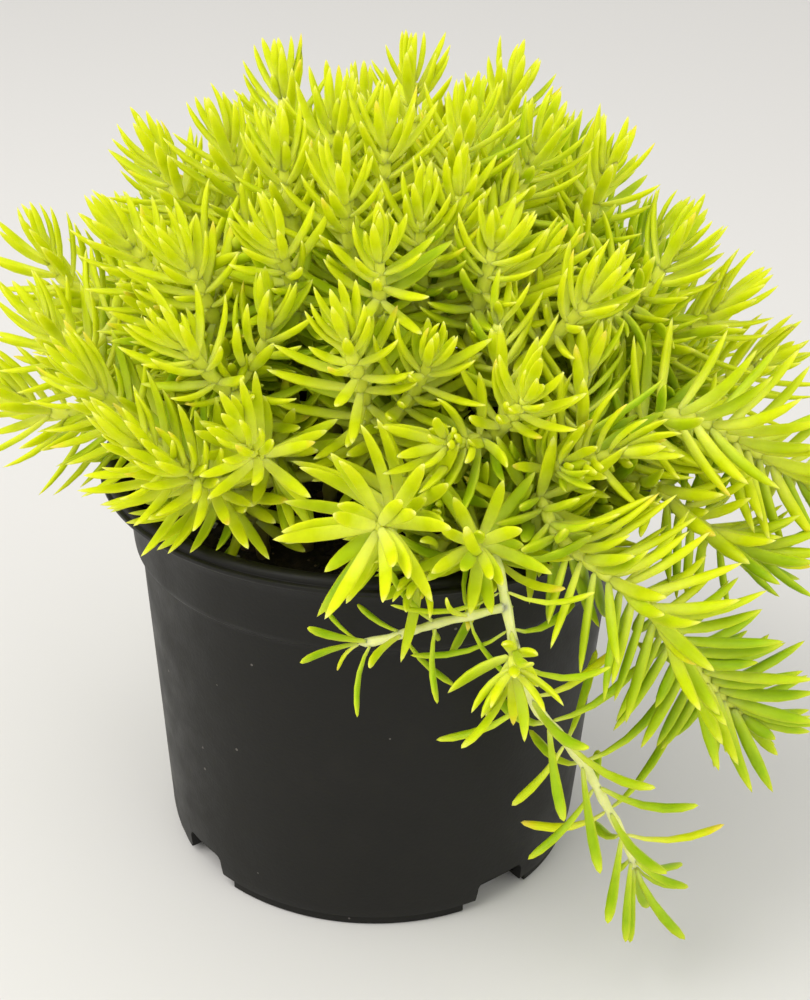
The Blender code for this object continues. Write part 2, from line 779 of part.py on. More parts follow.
def make_stem(stem, leaves, shape, group, finish):
    """Join a stem, its forks and its leaves in one solid."""
    thing = bpy.data.objects.new(stem.name, shoot_tube(stem.name, stem.shoots[0]))
    thing.data.materials.append(finish)
    group.objects.link(thing)
    bunch = collection("leaves_of_" + stem.name)
    for shoot in stem.shoots[1:]:
        fork = bpy.data.objects.new("fork", shoot_tube("fork", shoot))
        bunch.objects.link(fork)
    for frame, length in leaves:
        leaf = bpy.data.objects.new("leaf", shape)
        leaf.matrix_world = frame @ Matrix.Diagonal((length, LEAF_WIDTH, LEAF_THICKNESS, 1))
        bunch.objects.link(leaf)
    combine(thing, "UNION", bunch)
    for leaf in list(bunch.objects):
        bpy.data.objects.remove(leaf)
    bpy.data.collections.remove(bunch)
    form = bmesh.new()
    form.from_mesh(thing.data)
    bmesh.ops.dissolve_limit(form, angle_limit=SEAM_ANGLE, verts=form.verts,
                             edges=form.edges)
    form.to_mesh(thing.data)
    form.free()


def crowd_of_stems(stems):
    """The balls of all the bare stems."""
    crowd = Crowd()
    for owner, stem in enumerate(stems):
        for shoot in stem.shoots:
            distances = np.arange(0, shoot.length, STEM_BALL_PITCH)
            centres = np.array([shoot.at(distance)[0] for distance in distances])
            radii = np.array([shoot.radius(distance) for distance in distances])
            crowd.add(owner, centres, radii)
    return crowd


def build():
    """Make the whole plant in its pot."""
    empty_scene()
    parts = collection("potted_sedum")
    plastic = material("black_plastic", POT_BLACK, 0.42)
    earth = material("soil", SOIL_BROWN, 0.95)
    leafage = material("leaf", LEAF_GREEN, 0.45)
    stems = trailing_stems() + upright_stems()
    make_pot(parts, collection("drain_cutters"), plastic)
    make_soil(parts, collection("hole_cutters"), stems, earth)
    crowd = crowd_of_stems(stems)
    shape = leaf_shape()
    chance = random.Random(7)
    for owner, stem in enumerate(stems):
        leaves = place_leaves(stem, owner, crowd, chance)
        make_stem(stem, leaves, shape, parts, leafage)


build()
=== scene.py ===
"""Golden needle-leaved sedum in a black nursery pot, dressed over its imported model.

Metres, +Z up. The pot's axis is Z, it stands on Z = 0 and its front is -Y. Azimuths are in
degrees, 0 to the front and positive to the right.
"""

import random
from math import asin, atan2, cos, degrees, exp, hypot, inf, radians, sin, sqrt, tau

import bpy
import numpy as np
from mathutils import Matrix, Vector, noise


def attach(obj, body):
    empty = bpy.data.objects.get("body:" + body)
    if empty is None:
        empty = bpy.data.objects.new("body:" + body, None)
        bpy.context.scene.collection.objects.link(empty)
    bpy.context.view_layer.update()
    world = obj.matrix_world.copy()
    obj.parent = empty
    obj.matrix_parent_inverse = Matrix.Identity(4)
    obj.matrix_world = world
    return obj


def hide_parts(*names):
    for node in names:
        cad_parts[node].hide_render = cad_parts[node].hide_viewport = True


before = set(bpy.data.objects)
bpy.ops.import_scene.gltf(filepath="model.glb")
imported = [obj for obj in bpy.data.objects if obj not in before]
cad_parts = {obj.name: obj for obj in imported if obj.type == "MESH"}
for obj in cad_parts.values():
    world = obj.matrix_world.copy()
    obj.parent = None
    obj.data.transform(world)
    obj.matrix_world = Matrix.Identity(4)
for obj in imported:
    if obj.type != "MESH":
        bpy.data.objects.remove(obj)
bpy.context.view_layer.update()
bpy.context.scene.view_settings.view_transform = "Standard"

# Camera. It stands close in front of the plant and above it, looking down on the heads,
# at the photograph's viewing angle, and leans very slightly to one side.
EYE = Vector((0.0055775, -0.3074643, 0.2316027))
LOOK_DOWN = radians(26.73)
LEAN = radians(1.61)
SENSOR_HEIGHT = 36
LENS = 58.57
NEAREST_SEEN = 0.01


def placed_in_scene(name, data):
    """A new object in the scene, for a mesh, curve, camera or lamp."""
    thing = bpy.data.objects.new(name, data)
    bpy.context.scene.collection.objects.link(thing)
    return thing


camera = placed_in_scene("camera", bpy.data.cameras.new("camera"))
camera.data.sensor_fit = "VERTICAL"
camera.data.sensor_height = SENSOR_HEIGHT
camera.data.lens = LENS
camera.data.clip_start = NEAREST_SEEN
camera.matrix_world = (Matrix.Translation(EYE)
                       @ Matrix.Rotation(radians(90) - LOOK_DOWN, 4, "X")
                       @ Matrix.Rotation(LEAN, 4, "Z"))
bpy.context.scene.camera = camera

# Pot. A tapered nursery pot, moulded in one piece of satin black plastic: a collar under a
# flared lip, a foot set in from the wall, and four drain slots cut up into wall and floor.
MM = 0.001
LIP_HEIGHT = 89.0
LIP_RADIUS = 57.5
POT_STEPS = 160
POT_EDGE_ANGLE = radians(38)
# Radius and height in mm, from the middle of the underside up the outside, over the lip
# with its shallow groove, and down the inside to the middle of the floor
POT_PROFILE = (
    (0, 0), (20, 0), (41, 0), (44.3, 0), (44.6, 0.3), (44.6, 2.2), (45, 2.25),
    (45.3, 2.5), (45.45, 3.2), (45.7, 5), (46.3, 14), (47.3, 30), (48.4, 47), (49.4, 62),
    (49.84, 69.2), (49.95, 69.9), (50.2, 70.3), (50.9, 70.7), (51.2, 71.1), (51.35, 72),
    (51.6, 75), (52.1, 78.5), (52.7, 81.5), (53.4, 83.6), (54.2, 84.7), (55.6, 85.5),
    (56.8, 85.8), (57.3, 86.1), (57.5, 86.55), (57.45, 87), (57.15, 87.25),
    (56.8, 87.3), (56.7, 87.5), (56.8, 87.8), (56.65, 88.3), (56.2, 88.75), (55.5, 89),
    (54.7, 88.9), (54, 88.45), (53.3, 87.6), (52.5, 86.2), (51.7, 83), (50.4, 78),
    (49.3, 73.5), (48.6, 70.6), (47.4, 52), (45.9, 28), (44.4, 8), (44, 5.2),
    (43, 3.2), (41, 2), (38, 1.8), (18, 1.8), (0, 1.8),
)
# Each drain slot is cut through the wall, then wider through the foot under it
DRAIN_AZIMUTHS = (-51, 38, 129, 218)
DRAIN_WIDTH = 11.6
DRAIN_SLANT = 0.5
DRAIN_TOP = 7.3
DRAIN_ROUNDING = 1.6
FOOT_DRAIN_WIDTH = 17.2
FOOT_HEIGHT = 2.2
DRAIN_REACH = 48.0
DRAIN_DEPTH = 17.0
SPECK_SHARE = 0.12


def select(*things):
    """Select only these objects and make the first one active."""
    bpy.ops.object.select_all(action="DESELECT")
    for thing in things:
        thing.select_set(True)
    bpy.context.view_layer.objects.active = things[0]


def started(name, add_shape, **sizes):
    """A primitive to be shaped, with nothing else selected."""
    bpy.ops.object.select_all(action="DESELECT")
    add_shape(**sizes)
    bpy.context.object.name = name
    return bpy.context.object


def close_up(gap):
    """Merge points within a gap and turn the faces outwards, then leave edit mode."""
    bpy.ops.object.mode_set(mode="EDIT")
    bpy.ops.mesh.select_all(action="SELECT")
    bpy.ops.mesh.remove_doubles(threshold=gap)
    bpy.ops.mesh.normals_make_consistent(inside=False)
    bpy.ops.object.mode_set(mode="OBJECT")


def turned(name, profile, steps):
    """A piece turned about Z: a point is drawn out along its profile, which is spun round."""
    thing = started(name, bpy.ops.mesh.primitive_plane_add, size=MM)
    bpy.ops.object.mode_set(mode="EDIT")
    bpy.ops.mesh.merge(type="CENTER")
    radius, height = profile[0]
    bpy.ops.transform.translate(value=(radius * MM, 0, height * MM))
    for next_radius, next_height in profile[1:]:
        step = ((next_radius - radius) * MM, 0, (next_height - height) * MM)
        bpy.ops.mesh.extrude_region_move(TRANSFORM_OT_translate={"value": step})
        radius, height = next_radius, next_height
    bpy.ops.mesh.select_all(action="SELECT")
    bpy.ops.mesh.spin(steps=steps, angle=tau, center=(0, 0, 0), axis=(0, 0, 1))
    close_up(0.02 * MM)
    bpy.ops.object.shade_smooth_by_angle(angle=POT_EDGE_ANGLE)
    return thing


def slot_cutter(azimuth, width, slant, top, rounding):
    """A block that cuts one drain slot: a little wider at its foot, its top corners round.

    It reaches as far below the pot as into it, so its lower end has twice the slant a side.
    """
    block = started("slot_cutter", bpy.ops.mesh.primitive_cube_add, size=1)
    size = Vector((width, DRAIN_DEPTH, 2 * top)) * MM
    for corner in block.data.vertices:
        corner.co = corner.co * size
        if corner.co.z < 0:
            corner.co.x *= 1 + 4 * slant / width
    for edge in block.data.edges:
        first, second = (block.data.vertices[index].co for index in edge.vertices)
        edge.select = first.z > 0 and second.z > 0 and first.y * second.y < 0
    if rounding:
        bpy.ops.object.mode_set(mode="EDIT")
        bpy.ops.mesh.select_mode(type="EDGE")
        bpy.ops.mesh.bevel(offset=rounding * MM, segments=4, affect="EDGES")
        bpy.ops.mesh.select_mode(type="VERT")
        bpy.ops.object.mode_set(mode="OBJECT")
    angle = radians(azimuth)
    block.location = (sin(angle) * DRAIN_REACH * MM,
                      -cos(angle) * DRAIN_REACH * MM, 0)
    block.rotation_euler.z = angle
    bpy.ops.object.transform_apply(location=True, rotation=True, scale=True)
    return block


def take_out(thing, cutter):
    """Cut one object out of another."""
    select(thing)
    boolean = thing.modifiers.new("cut", "BOOLEAN")
    boolean.object = cutter
    boolean.solver = "EXACT"
    bpy.ops.object.modifier_apply(modifier="cut")
    bpy.data.objects.remove(cutter)


def new_material(name):
    """A new material, and its tree of nodes."""
    finish = bpy.data.materials.new(name)
    finish.use_nodes = True
    return finish, finish.node_tree


def feed(tree, socket, value):
    """Link an output to a socket, or set a plain value on it."""
    if isinstance(value, bpy.types.NodeSocket):
        tree.links.new(value, socket)
    else:
        socket.default_value = (*value, 1) if socket.type == "RGBA" else value


def add(tree, kind, feeds, **settings):
    """Add a shader node, set it, feed its inputs and give its outputs."""
    node = tree.nodes.new("ShaderNode" + kind)
    for name, setting in settings.items():
        setattr(node, name, setting)
    for name, value in feeds.items():
        feed(tree, node.inputs[name], value)
    return node.outputs


def feed_shader(tree, feeds, shader="Principled BSDF"):
    """Feed the shader that a new material or world comes with."""
    for name, value in feeds.items():
        feed(tree, tree.nodes[shader].inputs[name], value)


def speckle_group():
    """Soft mottling and sparse bright specks in Object coordinates."""
    group = bpy.data.node_groups.new("mottle_and_specks", "ShaderNodeTree")
    for name, kind in (("Position", "Vector"), ("Mottle Scale", "Float"),
                       ("Speck Scale", "Float"), ("Speck Size", "Float")):
        group.interface.new_socket(name, in_out="INPUT", socket_type="NodeSocket" + kind)
    for name in ("Mottle", "Specks"):
        group.interface.new_socket(name, in_out="OUTPUT", socket_type="NodeSocketFloat")
    given = group.nodes.new("NodeGroupInput").outputs
    result = group.nodes.new("NodeGroupOutput").inputs
    noisy = {"Vector": given["Position"], "Scale": given["Mottle Scale"], "Detail": 5,
             "Roughness": 0.6}
    feed(group, result["Mottle"], add(group, "TexNoise", noisy)["Fac"])
    cells = add(group, "TexVoronoi", {"Vector": given["Position"],
                                      "Scale": given["Speck Scale"]})
    near = add(group, "Math", {0: cells["Distance"], 1: given["Speck Size"]},
               operation="LESS_THAN")
    lot = add(group, "SeparateColor", {"Color": cells["Color"]})["Red"]
    chosen = add(group, "Math", {0: lot, 1: SPECK_SHARE}, operation="LESS_THAN")
    both = add(group, "Math", {0: near[0], 1: chosen[0]}, operation="MULTIPLY")
    feed(group, result["Specks"], both[0])
    return group


speckles = speckle_group()


def speckled(tree, mottle_scale, speck_scale=1, speck_size=0):
    """The group's mottle and specks in a material, by Object coordinates."""
    place = add(tree, "TexCoord", {})["Object"]
    feeds = {"Position": place, "Mottle Scale": mottle_scale, "Speck Scale": speck_scale,
             "Speck Size": speck_size}
    group = add(tree, "Group", feeds, node_tree=speckles)
    return group["Mottle"], group["Specks"]


def ramp(tree, source, stops):
    """A colour ramp over a value."""
    band = tree.nodes.new("ShaderNodeValToRGB")
    elements = band.color_ramp.elements
    while len(elements) < len(stops):
        elements.new(0.5)
    for element, (place, colour) in zip(elements, stops):
        element.position = place
        element.color = (*colour, 1)
    feed(tree, band.inputs["Fac"], source)
    return band.outputs["Color"]


def spread_of(tree, source, low, high, start=0.3, end=0.7):
    """A value carried to a range, by rule from the one in which mottling lies."""
    feeds = {"Value": source, "From Min": start, "From Max": end, "To Min": low,
             "To Max": high}
    return add(tree, "MapRange", feeds)["Result"]


def blended(tree, share, first, second):
    """Two colours mixed by a share."""
    return add(tree, "Mix", {0: share, 6: first, 7: second}, data_type="RGBA")[2]


def bumped(tree, height, strength, distance):
    """Fine relief from a height value."""
    feeds = {"Height": height, "Strength": strength, "Distance": distance}
    return add(tree, "Bump", feeds)["Normal"]


def coated(thing, finish):
    """Give a whole object one material."""
    thing.data.materials.clear()
    thing.data.materials.append(finish)


def black_plastic():
    """Near-black satin plastic with a faint moulded grain, soft scuffs and a little dust."""
    finish, tree = new_material("black_plastic")
    mottle, specks = speckled(tree, 90, 260, 0.08)
    colour = ramp(tree, mottle, (
        (0.3, (0.0062, 0.006, 0.0046)), (0.55, (0.0085, 0.0081, 0.0063)),
        (0.75, (0.012, 0.0113, 0.009))))
    place = add(tree, "TexCoord", {})["Object"]
    fine = add(tree, "TexNoise", {"Vector": place, "Scale": 1400})["Fac"]
    feed_shader(tree, {
        "Base Color": blended(tree, specks, colour, (0.11, 0.1, 0.09)),
        "Roughness": spread_of(tree, mottle, 0.38, 0.58),
        "Specular IOR Level": 0.22,
        "Normal": bumped(tree, fine, 0.12, 0.0003),
    })
    return finish


pot = turned("moulded_pot", POT_PROFILE, POT_STEPS)
for azimuth in DRAIN_AZIMUTHS:
    take_out(pot, slot_cutter(azimuth, DRAIN_WIDTH, DRAIN_SLANT, DRAIN_TOP, DRAIN_ROUNDING))
    take_out(pot, slot_cutter(azimuth, FOOT_DRAIN_WIDTH, 0, FOOT_HEIGHT, 0))
select(pot)
bpy.ops.object.shade_smooth_by_angle(angle=POT_EDGE_ANGLE)
coated(pot, black_plastic())
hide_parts("pot")
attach(pot, "root")

# Soil. A peat and shredded-bark potting mix that fills the pot to a finger's width under
# the lip, with loose crumbs, chips of bark, pale grit and fine roots lying on it.
SOIL_EDGE_HEIGHT = 77.5
SOIL_CROWN = 3.0
ROOT_SPREAD = 42.0
SOIL_BUMP = 0.7
FINE_LUMP = 3.5
BROAD_LUMP = 11.0
CRUMB_SIZE = 2.4
CRUMB_RELIEF = 0.75
CRUMB_SINK = 0.25
# The crumbs' noise: its fractal increment, lacunarity and octaves
CRUMB_NOISE = (0.8, 2.1, 4)
SOIL_RADIUS = 49.2
SOIL_RINGS = 44
SOIL_STEPS = 150
# Radius and height of the plug's side and underside, just inside the pot
SOIL_SIDE = ((48.1, 70.6), (46.4, 42), (43.4, 5.6), (40.7, 2.1), (0, 2.1))
LITTER_REACH = 47.5
LITTER_TILT = 0.5
LITTER_EDGE_ANGLE = radians(30)
LUMP_GRAIN = 4
LUMP_SHIFT = 9
# What lies on it: each lump's shape and unevenness, then how many there are, their least
# and most size, and how far their middles lie over the top
LITTER = {
    "crumbs": ((1, 0.8, 0.7), 0.7, 520, (1.2, 3.6), -0.1),
    "bark_chips": ((1, 0.45, 0.22), 0.5, 46, (3.5, 9), 0.5),
    "pale_grit": ((1, 0.85, 0.7), 0.5, 26, (1.2, 2.6), 0.4),
}
# Fine roots wander from knot to knot; those that leave the soil too soon are left out
ROOT_COUNT = 16
ROOT_KNOTS = 14
ROOT_LEAST_KNOTS = 5
ROOT_STEP = 1.1
ROOT_TURN = 0.65
ROOT_START_REACH = 47
ROOT_START_SHARE = 0.2
ROOT_RISE = (0.35, 0.85)
ROOT_END_REACH = 48
ROOT_RADIUS = 0.13
# Dark damp peat, browner on its crumbs, and what lies on it, along the mottling
PEAT = ((0.32, (0.006, 0.0042, 0.003)), (0.52, (0.02, 0.013, 0.0085)),
        (0.7, (0.055, 0.035, 0.021)))
PALE_CRUMB = (0.17, 0.12, 0.08)
BARK = ((0.35, (0.03, 0.017, 0.009)), (0.65, (0.145, 0.088, 0.05)))
PUMICE = ((0.35, (0.3, 0.28, 0.24)), (0.65, (0.62, 0.6, 0.55)))
FIBRE = ((0.35, (0.22, 0.16, 0.1)), (0.65, (0.52, 0.44, 0.33)))


def soil_height(x, y):
    """Height in mm of the soil's lumpy, slightly crowned top."""
    share = min(hypot(x, y) / ROOT_SPREAD, 1)
    fine_lumps = sin(x / FINE_LUMP + 1) * cos(y / FINE_LUMP)
    lumps = fine_lumps + 0.6 * sin((x - 2 * y) / BROAD_LUMP)
    return SOIL_EDGE_HEIGHT + SOIL_CROWN * (1 - share ** 2) + SOIL_BUMP * lumps


def crumbly(x, y):
    """Height in mm of the same top with its crumbs."""
    spot = Vector((x, y, 0))
    crumbs = noise.fractal(spot / CRUMB_SIZE, *CRUMB_NOISE)
    return soil_height(x, y) + CRUMB_RELIEF * crumbs - CRUMB_SINK


def mottled(name, scale, stops, roughness, relief=(0.5, 0.0006), speck_scale=1, speck_size=0):
    """A matt finish mottled between colours, with fine relief and, where sized, specks."""
    finish, tree = new_material(name)
    mottle, specks = speckled(tree, scale, speck_scale, speck_size)
    feed_shader(tree, {
        "Base Color": blended(tree, specks, ramp(tree, mottle, stops), PALE_CRUMB),
        "Roughness": roughness,
        "Normal": bumped(tree, mottle, *relief),
    })
    return finish


def chance_place(reach, least, chance):
    """A place in mm anywhere over the soil, or from some share of its area outwards."""
    far = reach * sqrt(chance.uniform(least, 1))
    turn = chance.uniform(0, tau)
    return far * sin(turn), -far * cos(turn)


def joined(name, things):
    """Several objects as one."""
    select(*things)
    bpy.ops.object.join()
    things[0].name = name
    return things[0]


def lump(name, shape, unevenness, chance):
    """An irregular lump of few faces, one unit across."""
    thing = started(name, bpy.ops.mesh.primitive_ico_sphere_add, subdivisions=2, radius=0.5)
    for corner in thing.data.vertices:
        spot = corner.co * LUMP_GRAIN + Vector((chance.random() * LUMP_SHIFT, 0, 0))
        swell = 1 + unevenness * noise.noise(spot)
        corner.co = Vector(a * b for a, b in zip(corner.co, shape)) * swell
    bpy.ops.object.shade_smooth_by_angle(angle=LITTER_EDGE_ANGLE)
    return thing


def scattered(name, chance):
    """Copies of a lump strewn over the soil, their middles near its top."""
    shape, unevenness, count, sizes, rise = LITTER[name]
    model = lump(name, shape, unevenness, chance)
    copies = []
    for _ in range(count):
        x, y = chance_place(LITTER_REACH, 0, chance)
        size = chance.uniform(*sizes) * MM
        place = Vector((x * MM, y * MM, (crumbly(x, y) + rise) * MM))
        swing = Matrix.Rotation(chance.uniform(0, tau), 4, "Z")
        tumble = swing @ Matrix.Rotation(chance.uniform(-LITTER_TILT, LITTER_TILT), 4, "X")
        mesh = model.data.copy()
        mesh.transform(Matrix.Translation(place) @ tumble @ Matrix.Scale(size, 4))
        copies.append(placed_in_scene(name, mesh))
    bpy.data.objects.remove(model)
    return joined(name, copies)


def tube(name, points, radii, roundness):
    """A closed round tube through points, as a mesh."""
    curve = bpy.data.curves.new(name, "CURVE")
    curve.dimensions = "3D"
    curve.bevel_depth = 1
    curve.bevel_resolution = roundness
    curve.use_fill_caps = True
    spline = curve.splines.new("POLY")
    spline.points.add(len(points) - 1)
    for knot, point, radius in zip(spline.points, points, radii):
        knot.co = (*point, 1)
        knot.radius = radius
    select(placed_in_scene(name, curve))
    bpy.ops.object.convert(target="MESH")
    close_up(0.001 * MM)
    bpy.ops.object.shade_smooth()
    return bpy.context.object


def root_fibre(chance):
    """The course of a fine root that wanders over the soil."""
    x, y = chance_place(ROOT_START_REACH, ROOT_START_SHARE, chance)
    heading = chance.uniform(0, tau)
    fibre = []
    for _ in range(ROOT_KNOTS):
        height = crumbly(x, y) + chance.uniform(*ROOT_RISE)
        fibre.append(Vector((x, y, height)) * MM)
        heading += chance.uniform(-ROOT_TURN, ROOT_TURN)
        x += ROOT_STEP * cos(heading)
        y += ROOT_STEP * sin(heading)
        if hypot(x, y) > ROOT_END_REACH:
            break
    return fibre


chance = random.Random(11)
soil_top = [(SOIL_RADIUS * ring / SOIL_RINGS, SOIL_EDGE_HEIGHT)
            for ring in range(SOIL_RINGS + 1)]
soil = turned("potting_mix", soil_top + list(SOIL_SIDE), SOIL_STEPS)
for corner in soil.data.vertices:
    x, y = corner.co.x / MM, corner.co.y / MM
    if corner.co.z > (SOIL_EDGE_HEIGHT - 0.2) * MM:
        corner.co.z = crumbly(x, y) * MM
peat = mottled("potting_mix", 420, PEAT, 0.92, (0.8, 0.0012), 700, 0.2)
crumbs = scattered("crumbs", chance)
coated(soil, peat)
coated(crumbs, peat)
soil = joined("potting_mix", [soil, crumbs])
chips = scattered("bark_chips", chance)
grit = scattered("pale_grit", chance)
strands = []
for _ in range(ROOT_COUNT):
    strand = root_fibre(chance)
    if len(strand) >= ROOT_LEAST_KNOTS:
        strands.append(tube("strand", strand, [ROOT_RADIUS * MM] * len(strand), 1))
roots = joined("root_fibres", strands)
coated(chips, mottled("bark", 260, BARK, 0.85))
coated(grit, mottled("pumice", 500, PUMICE, 0.9))
coated(roots, mottled("root_fibre", 300, FIBRE, 0.8))
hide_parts("soil")
for piece in (soil, chips, grit, roots):
    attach(piece, "root")

# Stems. Fleshy pale green shoots rooted all over the soil: most fork part way up and carry a
# head of leaves on each arm, and four long ones hang over the lip or run out sideways.
UP = Vector((0, 0, 1))
DOME_CENTRE = UP * 88
DOME_REACH = 71.0
TRUNK_RADIUS = 1.3
TIP_RADIUS = 0.7
TIP_TAPER = 12
POINT_SPACING = 2.6
COURSE_STEPS = 60
NEAREST_STEPS = 200
HOLE_DEPTH = 6.0
HOLE_ROOM = 0.3
COLLAR_ABOVE_SOIL = 1.5
HEAD_LEAFY_LENGTH = 40.0
HEAD_LEAF_LENGTH = 16.5
HEAD_WHORL_SPACING = 3.5
LEAVING_SHARE = 0.3
ARRIVING_SHARE = 0.36
PAIR_DISTANCE = 34
FORK_SHARE = 0.42
ROOT_PITCH = 8.6
GOLDEN_ANGLE = 137.5
HEAD_ROOM = 21
SPIRAL_COUNT = 1500
SPIRAL_HIGHEST = 82
SPIRAL_LOWEST = 8
HEAD_LIFT = 0.42
FULL_LIFT_ELEVATION = 30
ROOT_CROWDING = 0.8
EASING_ROUNDS = 200
EASING_STEP = 0.4

# Heads that show in front: azimuth, elevation and reach from the dome's centre in degrees
# and mm, then the azimuth and elevation in which the head points
HEADS = (
    (-118, 72, 76, -95, 84), (-82, 55, 75, -86, 62), (-69, 65, 74, -80, 70),
    (-39, 67, 73, -40, 80), (-34, 77, 74, -30, 84), (2, 75, 73, 20, 84),
    (-12, 64, 71, -20, 76), (-26, 54, 71, -45, 66), (-45, 47, 71, -58, 62),
    (0, 54, 70, -10, 68), (-89, 32, 78, -90, 76), (-73, 27, 74, -85, 60),
    (-37, 36, 70, -60, 54), (-6, 42, 68, -25, 64), (-54, 25, 71, -64, 52),
    (-40, 20, 69, -60, 50), (-21, 24, 66, -25, 52), (-33, 18, 65, -42, 42),
    (-76, 14, 75, -80, 44), (52, 75, 74, 60, 82), (69, 66, 75, 70, 74),
    (84, 56, 76, 88, 78), (157, 80, 75, 120, 86), (30, 55, 70, 30, 70),
    (45, 43, 72, 50, 66), (26, 31, 68, 12, 46), (78, 41, 75, 84, 62),
    (84, 29, 76, 84, 52), (88, 17, 80, 90, 38), (42, 20, 69, 62, 24),
    (28, 65, 69, 20, 78), (13, 62, 67, 8, 74), (33, 20, 64, 22, 34),
    (11, 40, 62, 6, 56), (115, 70, 77, 110, 80), (1, 14, 66, -2, 33),
    (-62, 45, 74, -74, 56),
)

# The head that faces the camera low in front opens into a wide star
STAR_HEAD = (1, 14, 66, -2, 33)
STAR_LEAF_LENGTH = 20.5

# Long stems: each shoot's form of leaf, the bare length of its solid, its leaf length, leaf
# spacing and radius, then points along it, all in mm; later shoots fork from the first.
# Leaves start after this share of the bare length
BARE_SHARE = 0.45
TRAILERS = (
    ("stem_long_front", (
        ("club", 14, 19, 6.8, 0.85, (
            (20, -41, 78), (20, -50, 93), (22, -58, 94), (24, -63, 87), (26, -65, 79),
            (29, -66, 71), (33, -65, 65), (37, -63, 59), (41, -61, 52), (45, -60, 44),
            (49, -59, 36), (52, -58, 28))),
        ("hook", 10, 14, 6.6, 0.7, (
            (24, -62, 88), (18, -64, 87), (12, -62, 84), (5, -60, 80), (0, -58.5, 77.5),
            (-2, -58, 77))),
        ("whorl", 1, 13, 2.6, 0.8, (
            (25, -64, 82), (25, -68, 82), (25, -72, 80))),
        ("whorl", 4, 16, 3.0, 0.8, (
            (20, -46, 88), (19, -54, 96), (18, -61, 99))))),
    ("stem_thick_right", (
        ("long", 12, 19, 2.9, 0.95, (
            (27, -34, 78), (29, -44, 100), (33, -53, 97), (41, -57, 92), (48, -58, 87),
            (54, -58, 80), (60, -57, 72), (66, -55, 65), (70, -54, 61))),)),
    ("stem_side_right", (
        ("long", 22, 19, 3.3, 1.0, (
            (36, -20, 78), (42, -28, 100), (52, -33, 112), (60, -33, 111),
            (67, -31, 107), (74, -29, 102), (81, -27, 98), (87, -25, 95))),)),
    ("stem_low_right", (
        ("long", 16, 17, 3.1, 0.95, (
            (34, -25, 78), (43, -31, 97), (51, -34, 99), (58, -36, 94), (66, -37, 89),
            (72, -37, 87))),)),
)
# The points that they pass, clear of their roots: no other head comes near
TRAILER_SPOTS = [Vector(point) for _, shoots in TRAILERS for point in shoots[0][-1][2:]]

# Shorter side heads that fill the dome from inside: how far out they reach, each with the
# room it needs, and the shares of the carrying shoot at which they may fork
FILLER_SHELLS = ((63, 13.5), (54, 14.5))
FILLER_FORKS = np.linspace(0.35, 0.8, 6)
FILLER_LEAST_RUN = 16
FILLER_RADIUS = 1.05
FILLER_BARE = 4
FILLER_LOWEST = 2
# The rim shows between these azimuths, so no side head sits low there
BARE_RIM = (-100, 4)
FRONT_FILLER_LOWEST = 34
# Heads near the rim have longer leaves than those above, up to this much at the lowest
LOW_HEAD_GROWTH = 3.2
LOW_HEAD_ELEVATION = 45


def around(azimuth):
    """The level direction of an azimuth."""
    angle = radians(azimuth)
    return Vector((sin(angle), -cos(angle), 0))


def pointing(azimuth, elevation):
    """The direction of an azimuth raised by an elevation."""
    rise = radians(elevation)
    return around(azimuth) * cos(rise) + UP * sin(rise)


def arching(ends, share):
    """A point along a cubic curve."""
    start, leave, arrive, end = ends
    rest = 1 - share
    return (start * rest ** 3 + leave * 3 * rest ** 2 * share
            + arrive * 3 * rest * share ** 2 + end * share ** 3)


def smooth_through(points, share):
    """A point along a smooth curve through all the given points."""
    spans = len(points) - 1
    place = min(share * spans, spans - 1e-6)
    index = int(place)
    local = place - index
    before = points[max(index - 1, 0)]
    here = points[index]
    there = points[index + 1]
    after = points[min(index + 2, spans)]
    return (here + (there - before) * (0.5 * local)
            + (before * 2 - here * 5 + there * 4 - after) * (0.5 * local ** 2)
            + (here * 3 - there * 3 + after - before) * (0.5 * local ** 3))


class Shoot:
    """One unforked length of stem with a leafy end. Everything is in mm."""

    base_radius = TRUNK_RADIUS
    trails = False
    form = "head"
    leafy = HEAD_LEAFY_LENGTH
    leaf_length = HEAD_LEAF_LENGTH
    spacing = HEAD_WHORL_SPACING

    def __init__(self, course, ends, foot=None):
        fine = [course(ends, step / COURSE_STEPS) for step in range(COURSE_STEPS + 1)]
        run = sum((b - a).length for a, b in zip(fine, fine[1:]))
        spans = max(3, round(run / POINT_SPACING))
        self.points = [course(ends, step / spans) for step in range(spans + 1)]
        if foot:
            self.points.insert(0, foot)
        runs = [(b - a).length for a, b in zip(self.points, self.points[1:])]
        self.lengths = np.concatenate(([0], np.cumsum(runs)))
        self.length = float(self.lengths[-1])
        self.sides = []
        side = Vector((0.6, 0.8, 0))
        for a, b in zip(self.points, self.points[1:]):
            along = (b - a).normalized()
            side = (side - along * side.dot(along)).normalized()
            self.sides.append(side)

    def at(self, distance):
        """Point, direction and side at a distance along the shoot."""
        distance = min(max(distance, 0), self.length)
        index = int(np.searchsorted(self.lengths, distance, side="right")) - 1
        index = min(index, len(self.sides) - 1)
        a, b = self.points[index], self.points[index + 1]
        share = (distance - self.lengths[index]) / (b - a).length
        return a.lerp(b, share), (b - a).normalized(), self.sides[index]

    def radius(self, distance):
        """A shoot thins out towards its tip."""
        share = min((self.length - distance) / TIP_TAPER, 1)
        return TIP_RADIUS + (self.base_radius - TIP_RADIUS) * share

    def nearest(self, point):
        """The spot along the shoot that is nearest to a point."""
        spots = [self.at(place)[0] for place in np.linspace(0, self.length, NEAREST_STEPS)]
        return min(spots, key=lambda spot: (spot - point).length)


def head_spot(head):
    """Where a head is."""
    azimuth, elevation, reach, _, _ = head
    return DOME_CENTRE + pointing(azimuth, elevation) * reach


